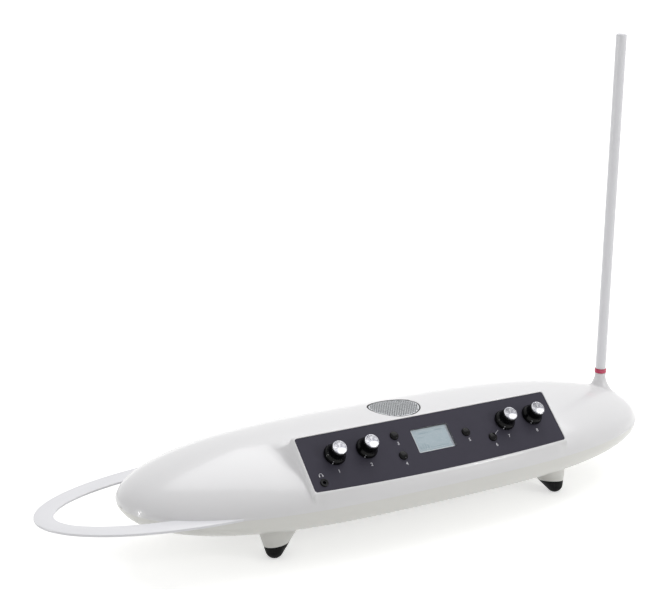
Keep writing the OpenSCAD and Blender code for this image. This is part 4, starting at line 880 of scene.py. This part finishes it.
for knob in KNOBS:
    at = (KNOB_U[knob], KNOB_V)
    body = knob + "_control"
    piece = turned(knob + "_knob_piece", knob_profile, at, 8 * FLUTES, flute)
    dress(piece, BLACK_GLOSS, body, "knob", knob + "_knob")
    cap = turned(knob + "_cap_piece", cap_profile, at, 72)
    dress(cap, SPUN_CAP_PAINTED_REFLECTION, body, "cap", knob + "_knob_cap")
    map_round(cap, at)
    # Painted shade: the cap's side faces take a darker copy of its metal
    cap.data.materials.append(CAP_SIDE_PAINTED_SHADE)
    for face in cap.data.polygons:
        if face.normal.dot(Vector(PANEL_OUT)) < 0.2:
            face.material_index = 1
    # The white pointer is two short marks on the skirt, one on its side and one on its slope; they
    # are print, set where the light glints on the skirt, so partly painted highlight
    marks = []
    for along, height in ((12.0, 1.5), (11.86, 2.1), (11.65, 2.8), (11.1, 4.15), (10.85, 4.6)):
        for side in (-MARK_HALF, MARK_HALF):
            p = Matrix.Rotation(POINTER, 2) @ Vector((along + 0.08, side))
            marks += list(on_panel([(at[0] + p[0], at[1] + p[1])], height + 0.03))
    mark = add_mesh(knob + "_pointer_and_glints", marks,
                    [(2 * i, 2 * i + 1, 2 * i + 3, 2 * i + 2) for i in (0, 1, 3)])
    dress(mark, PRINT, body, "knob")

for button in BUTTONS:
    piece = turned(button + "_button_piece", button_profile, BUTTON_AT[button], 48)
    dress(piece, BLACK_GLOSS, button + "_key", "button", button + "_button")


# ---- loudspeaker grille: fine perforated sheet ----

GRILLE_PITCH, GRILLE_HOLE, GRILLE_RIM, GRILLE_SINK = 2.23, 0.86, 1.2, 0.45


def domed(points):
    """Lifts the flat grille's points to follow the crown, a little below it."""
    points = np.asarray(points, float)
    base = level(GRILLE_TOP)(points)
    crown = onto(top_form, base, (0, 0, 1), 12.0)
    return points + (crown - base) * [0, 0, 1] - [0, 0, GRILLE_SINK]


def make_grille():
    """A sheet of six-sided cells with a round hole in each, and a dark ring round it."""
    field = GRILLE_R - GRILLE_RIM
    n = int(GRILLE_R / GRILLE_PITCH) + 2
    points, faces = [], []
    spots = {}

    def corner(x, y):
        """The number of a cell's corner, shared with the cells beside it."""
        reach = math.hypot(x, y)
        if reach > field:
            x, y = x * field / reach, y * field / reach
        key = (round(x, 2), round(y, 2))
        if key not in spots:
            spots[key] = len(points)
            points.append((x, y + GRILLE_Y, GRILLE_TOP))
        return spots[key]

    def around(x, y, r, count):
        turns = [math.radians(30 + 360 * k / count) for k in range(count)]
        return [(x + r * math.cos(a), y + r * math.sin(a)) for a in turns]

    for i in range(-2 * n, 2 * n + 1):
        for j in range(-n, n + 1):
            x, y = (i + j / 2) * GRILLE_PITCH, j * GRILLE_PITCH * math.sqrt(0.75)
            if math.hypot(x, y) > field + GRILLE_PITCH * 0.2:
                continue
            cell = [corner(*p) for p in around(x, y, GRILLE_PITCH / math.sqrt(3), 6)]
            if len(set(cell)) < 6 or math.hypot(x, y) > field - GRILLE_PITCH * 0.5:
                cell = list(dict.fromkeys(cell))
                if len(cell) > 2:
                    faces.append(cell)
                continue
            start = len(points)
            for depth in (0, 0.1):
                points += [(u, v + GRILLE_Y, GRILLE_TOP - depth)
                           for u, v in around(x, y, GRILLE_HOLE, 12)]
            for k in range(6):
                a, b, c = start + 2 * k, start + 2 * k + 1, start + (2 * k + 2) % 12
                faces += [(cell[k], cell[(k + 1) % 6], b), (cell[k], b, a),
                          (cell[(k + 1) % 6], c, b)]
            faces += [(start + k, start + (k + 1) % 12, start + (k + 1) % 12 + 12, start + k + 12)
                      for k in range(12)]
    sheet = outward(add_mesh("grille_sheet", domed(points), faces, smooth=False))
    dress(sheet, MESH_GREY, "case", slot_of["speaker_grille"], "speaker_grille")
    thickness = GRILLE_TOP - grille_low[2]
    dark_ring = strip("grille_dark_ring", [
        domed(level(GRILLE_TOP + rise, dy=GRILLE_Y)(circle(r))) for r, rise in (
            (field - 0.3, -0.5), (field - 0.1, 0.03), (field + 0.2, 0.08),
            (GRILLE_R - 0.35, 0.05), (GRILLE_R - 0.1, -0.3), (GRILLE_R - 0.05, -thickness))])
    dress(sharpen(dark_ring, 50), DARK, "case", slot_of["speaker_grille"])


make_grille()


# ---- volume loop ----

LOOP_OUTER, LOOP_INNER = (194.3, 88.4), (174.7, 65.2)  # half axes of its two ellipses
LOOP_EDGE = 0.55  # rounding of its edges


def make_loop():
    """The flat band between two ellipses, open where it enters the body."""
    low, high = span("volume_loop")
    middle_x = low[0] + LOOP_OUTER[0]
    t, mid_z = high[2] - low[2], (low[2] + high[2]) / 2
    s = np.linspace(0, 1, 220)

    def ellipse(a, b):
        start = math.acos((high[0] - middle_x) / a)
        turn = start + s * (2 * math.pi - 2 * start)
        return np.stack([middle_x + a * np.cos(turn), b * np.sin(turn)], 1)

    outer, inner = ellipse(*LOOP_OUTER), ellipse(*LOOP_INNER)
    way = (outer - inner) / np.linalg.norm(outer - inner, axis=1, keepdims=True)
    rows = []
    for base, side, up in ((outer, 1, -1), (outer, 1, 1), (inner, -1, 1), (inner, -1, -1)):
        for a in np.radians((0, 22.5, 45, 67.5, 90)):
            out, rise = (math.cos(a), math.sin(a)) if side == up else (math.sin(a), math.cos(a))
            z = mid_z + up * (t / 2 - LOOP_EDGE + LOOP_EDGE * rise)
            rows.append(level(z)(base + way * side * LOOP_EDGE * (out - 1)))
    loop = sharpen(outward(strip("volume_loop_band", rows + rows[:1], closed=False)), 50)
    dress(loop, ANTENNA, "case", slot_of["volume_loop"], "volume_loop")


make_loop()


# ---- display contents and printed marks ----

LCD_U, LCD_V, LCD_FACE = -1.5, 2.2, -1.57
PRINT_RISE, NUMERAL_H = 0.02, 3.6
NUMERAL_AT = [(-122.3, -13.2), (-84.0, -13.2), (-44.4, 3.6), (-44.4, -20.2), (40.4, -8.2),
              (70.0, -20.2), (89.8, -13.2), (127.5, -13.2)]
ICON_U, ICON_V = -143.8, -13.6


def flat_marks(name, outlines, w, look, slot="panel"):
    """Thin printed shapes on the panel: each outline is a list of 2D points."""
    points, faces = [], []
    for outline in outlines:
        faces.append(tuple(range(len(points), len(points) + len(outline))))
        points += list(on_panel(outline, w))
    dress(add_mesh(name, points, faces, smooth=False), look, "case", slot)


def display_marks(name, look, outlines):
    """Marks on the display's face, round its middle."""
    moved = [[(u + LCD_U, v + LCD_V) for u, v in outline] for outline in outlines]
    flat_marks(name, moved, LCD_FACE, look, "display")


def bar(u, v, w, h):
    return [(u, v), (u + w, v), (u + w, v + h), (u, v + h)]


def half_ring(u, v, r, width, n=18):
    """The upper half of a ring."""
    a = np.linspace(0, math.pi, n)
    return [(u + r * math.cos(t), v + r * math.sin(t)) for t in a] \
        + [(u + (r - width) * math.cos(t), v + (r - width) * math.sin(t)) for t in a[::-1]]


def numeral(text, at):
    """A printed numeral, with its middle at a point of the panel."""
    curve = bpy.data.curves.new("numeral_" + text, "FONT")
    curve.body, curve.size = text, NUMERAL_H * 1.38 * MM
    curve.align_x, curve.align_y = "CENTER", "CENTER"
    curve.resolution_u, curve.offset = 6, 0.07 * MM
    obj = link_object("numeral_" + text, curve)
    mesh = mesh_of(obj)
    bpy.data.objects.remove(obj)
    centre = on_panel([at], 0.025)[0] * MM
    mesh.transform(Matrix.Translation(centre) @ Matrix.Rotation(SLOPE, 4, "X"))
    dress(link_object("numeral_" + text, mesh), PRINT, "case", "panel")


lines = [bar(-15, 7.6, 16, 0.9), bar(-18, 3.2, 9, 0.7), bar(-4, -9.4, 20, 0.6), bar(6, 8.6, 9, 1.2)]
bars = [bar(-19 + 3.1 * i, -9.6, 1.5, 1.2 + 5.0 * abs(math.sin(0.7 * i + 0.4))) for i in range(5)]
wave = [(-1 + 0.5 * i, -0.6 + 4.4 * math.sin(i * 0.33) * math.exp(-i / 45)) for i in range(38)]
wave += [(u, v - 0.6) for u, v in reversed(wave)]
display_marks("display_marks", DISPLAY_INK, lines + bars + [wave])
# Painted highlight: light bars along the window's left and bottom bevel
display_marks("display_edges", DISPLAY_EDGE_HIGHLIGHT, [bar(-22.2, -13.2, 0.7, 26.2),
                                              bar(-21.4, -13.2, 42, 0.75)])
# Painted shade: a darker strip for the window's right wall
display_marks("display_side_painted_shade", DISPLAY_SIDE_PAINTED_SHADE, [bar(20.2, -12.6, 1.9, 25.6)])
for i, at in enumerate(NUMERAL_AT):
    numeral(str(i + 1), at)
flat_marks("headphone_mark", [
    half_ring(ICON_U, ICON_V, 2.2, 0.45), bar(ICON_U - 2.4, ICON_V - 1.7, 1.1, 1.9),
    bar(ICON_U + 1.3, ICON_V - 1.7, 1.1, 1.9)], PRINT_RISE, PRINT)
flat_marks("button_line", [[(73.2, -7.9), (73.5, -8.2), (79.4, -4.2), (79.2, -3.8)]],
           PRINT_RISE, PRINT)


# ---- floor, light, camera ----

PURE_WHITE = (1, 1, 1, 1)
# The photograph's viewpoint, 1.45 m from the object, level but for a slight roll
VIEW_AT = (-783.35, -1212.45, 625.04)
VIEW_RIGHT, VIEW_UP = (0.86689, -0.49839, 0.01079), (0.11938, 0.22858, 0.96618)
FOCAL_PX, PHOTO_W, SENSOR = 1392.22, 668, 36.0


def seen_ray(tree):
    """A node that is 1 for rays from the camera, a reflection or a pane of glass, and else 0."""
    path = add_node(tree, "LightPath")
    last, out = path, "Is Camera Ray"
    for other in ("Is Glossy Ray", "Is Transmission Ray"):
        most = add_node(tree, "Math")
        most.operation = "MAXIMUM"
        wire(tree, (last, out, most, 0), (path, other, most, 1))
        last, out = most, "Value"
    return last


def make_floor():
    bpy.ops.mesh.primitive_plane_add(size=80, location=(0, 0, -0.0002))
    floor = bpy.context.object
    floor.name = "studio_floor"
    m = bpy.data.materials.new("studio_floor")
    m.use_nodes = True
    tree = m.node_tree
    shader = set_sockets(tree.nodes["Principled BSDF"], Base_Color=(0.88, 0.88, 0.865, 1),
                         Roughness=0.9, Specular_IOR_Level=0.0)
    # The glow makes up for the lamps' light, which falls off with the distance from the middle
    place, away, level_node = (add_node(tree, kind) for kind in ("TexCoord", "VectorMath", "Math"))
    away.operation, level_node.operation = "LENGTH", "MULTIPLY"
    rise = add_node(tree, "MapRange", From_Min=0.55, From_Max=3.5, To_Min=0.56, To_Max=1.0)
    glow, total = add_node(tree, "Emission", Color=PURE_WHITE), add_node(tree, "AddShader")
    wire(tree, (place, "Object", away, 0), (away, "Value", rise, "Value"),
         (rise, "Result", level_node, 0), (seen_ray(tree), "Value", level_node, 1),
         (level_node, "Value", glow, "Strength"), (shader, "BSDF", total, 0),
         (glow, "Emission", total, 1), (total, "Shader", tree.nodes["Material Output"], "Surface"))
    floor.data.materials.append(m)


def softbox(name, at, look_at, width, height, power):
    """A rectangular lamp; places are in metres."""
    light = bpy.data.lights.new(name, "AREA")
    light.shape, light.size, light.size_y, light.energy = "RECTANGLE", width, height, power
    lamp = link_object(name, light)
    lamp.location = at
    lamp.rotation_euler = (Vector(look_at) - Vector(at)).to_track_quat("-Z", "Y").to_euler()


def make_light():
    world = bpy.data.worlds.new("studio")
    bpy.context.scene.world = world
    world.use_nodes = True
    tree = world.node_tree
    soft = set_sockets(tree.nodes["Background"], Color=PURE_WHITE, Strength=0.40)
    seen = add_node(tree, "Background", Color=PURE_WHITE, Strength=1.0)
    mix = add_node(tree, "MixShader")
    wire(tree, (seen_ray(tree), "Value", mix, "Fac"), (soft, "Background", mix, 1),
         (seen, "Background", mix, 2), (mix, "Shader", tree.nodes["World Output"], "Surface"))
    softbox("overhead", (0.65, 0.4, 1.9), (0, 0, 0.08), 2.6, 1.6, 27.5)
    softbox("left_strip", (-2.3, 0.3, 0.4), (0, 0, 0.1), 0.10, 0.8, 6)
    softbox("front_right", (1.5, -1.9, 1.1), (0, 0, 0.08), 0.3, 0.4, 8.5)


def make_camera():
    right, up = Vector(VIEW_RIGHT), Vector(VIEW_UP)
    data = bpy.data.cameras.new("view")
    data.sensor_width, data.lens = SENSOR, FOCAL_PX * SENSOR / PHOTO_W
    data.clip_start, data.clip_end = 0.05, 200
    camera = link_object("view", data)
    axes = zip(right, up, right.cross(up), Vector(VIEW_AT) * MM)
    camera.matrix_world = Matrix((*axes, (0, 0, 0, 1)))
    bpy.context.scene.camera = camera


make_floor()
make_light()
make_camera()
bpy.context.scene.view_settings.view_transform = "Standard"
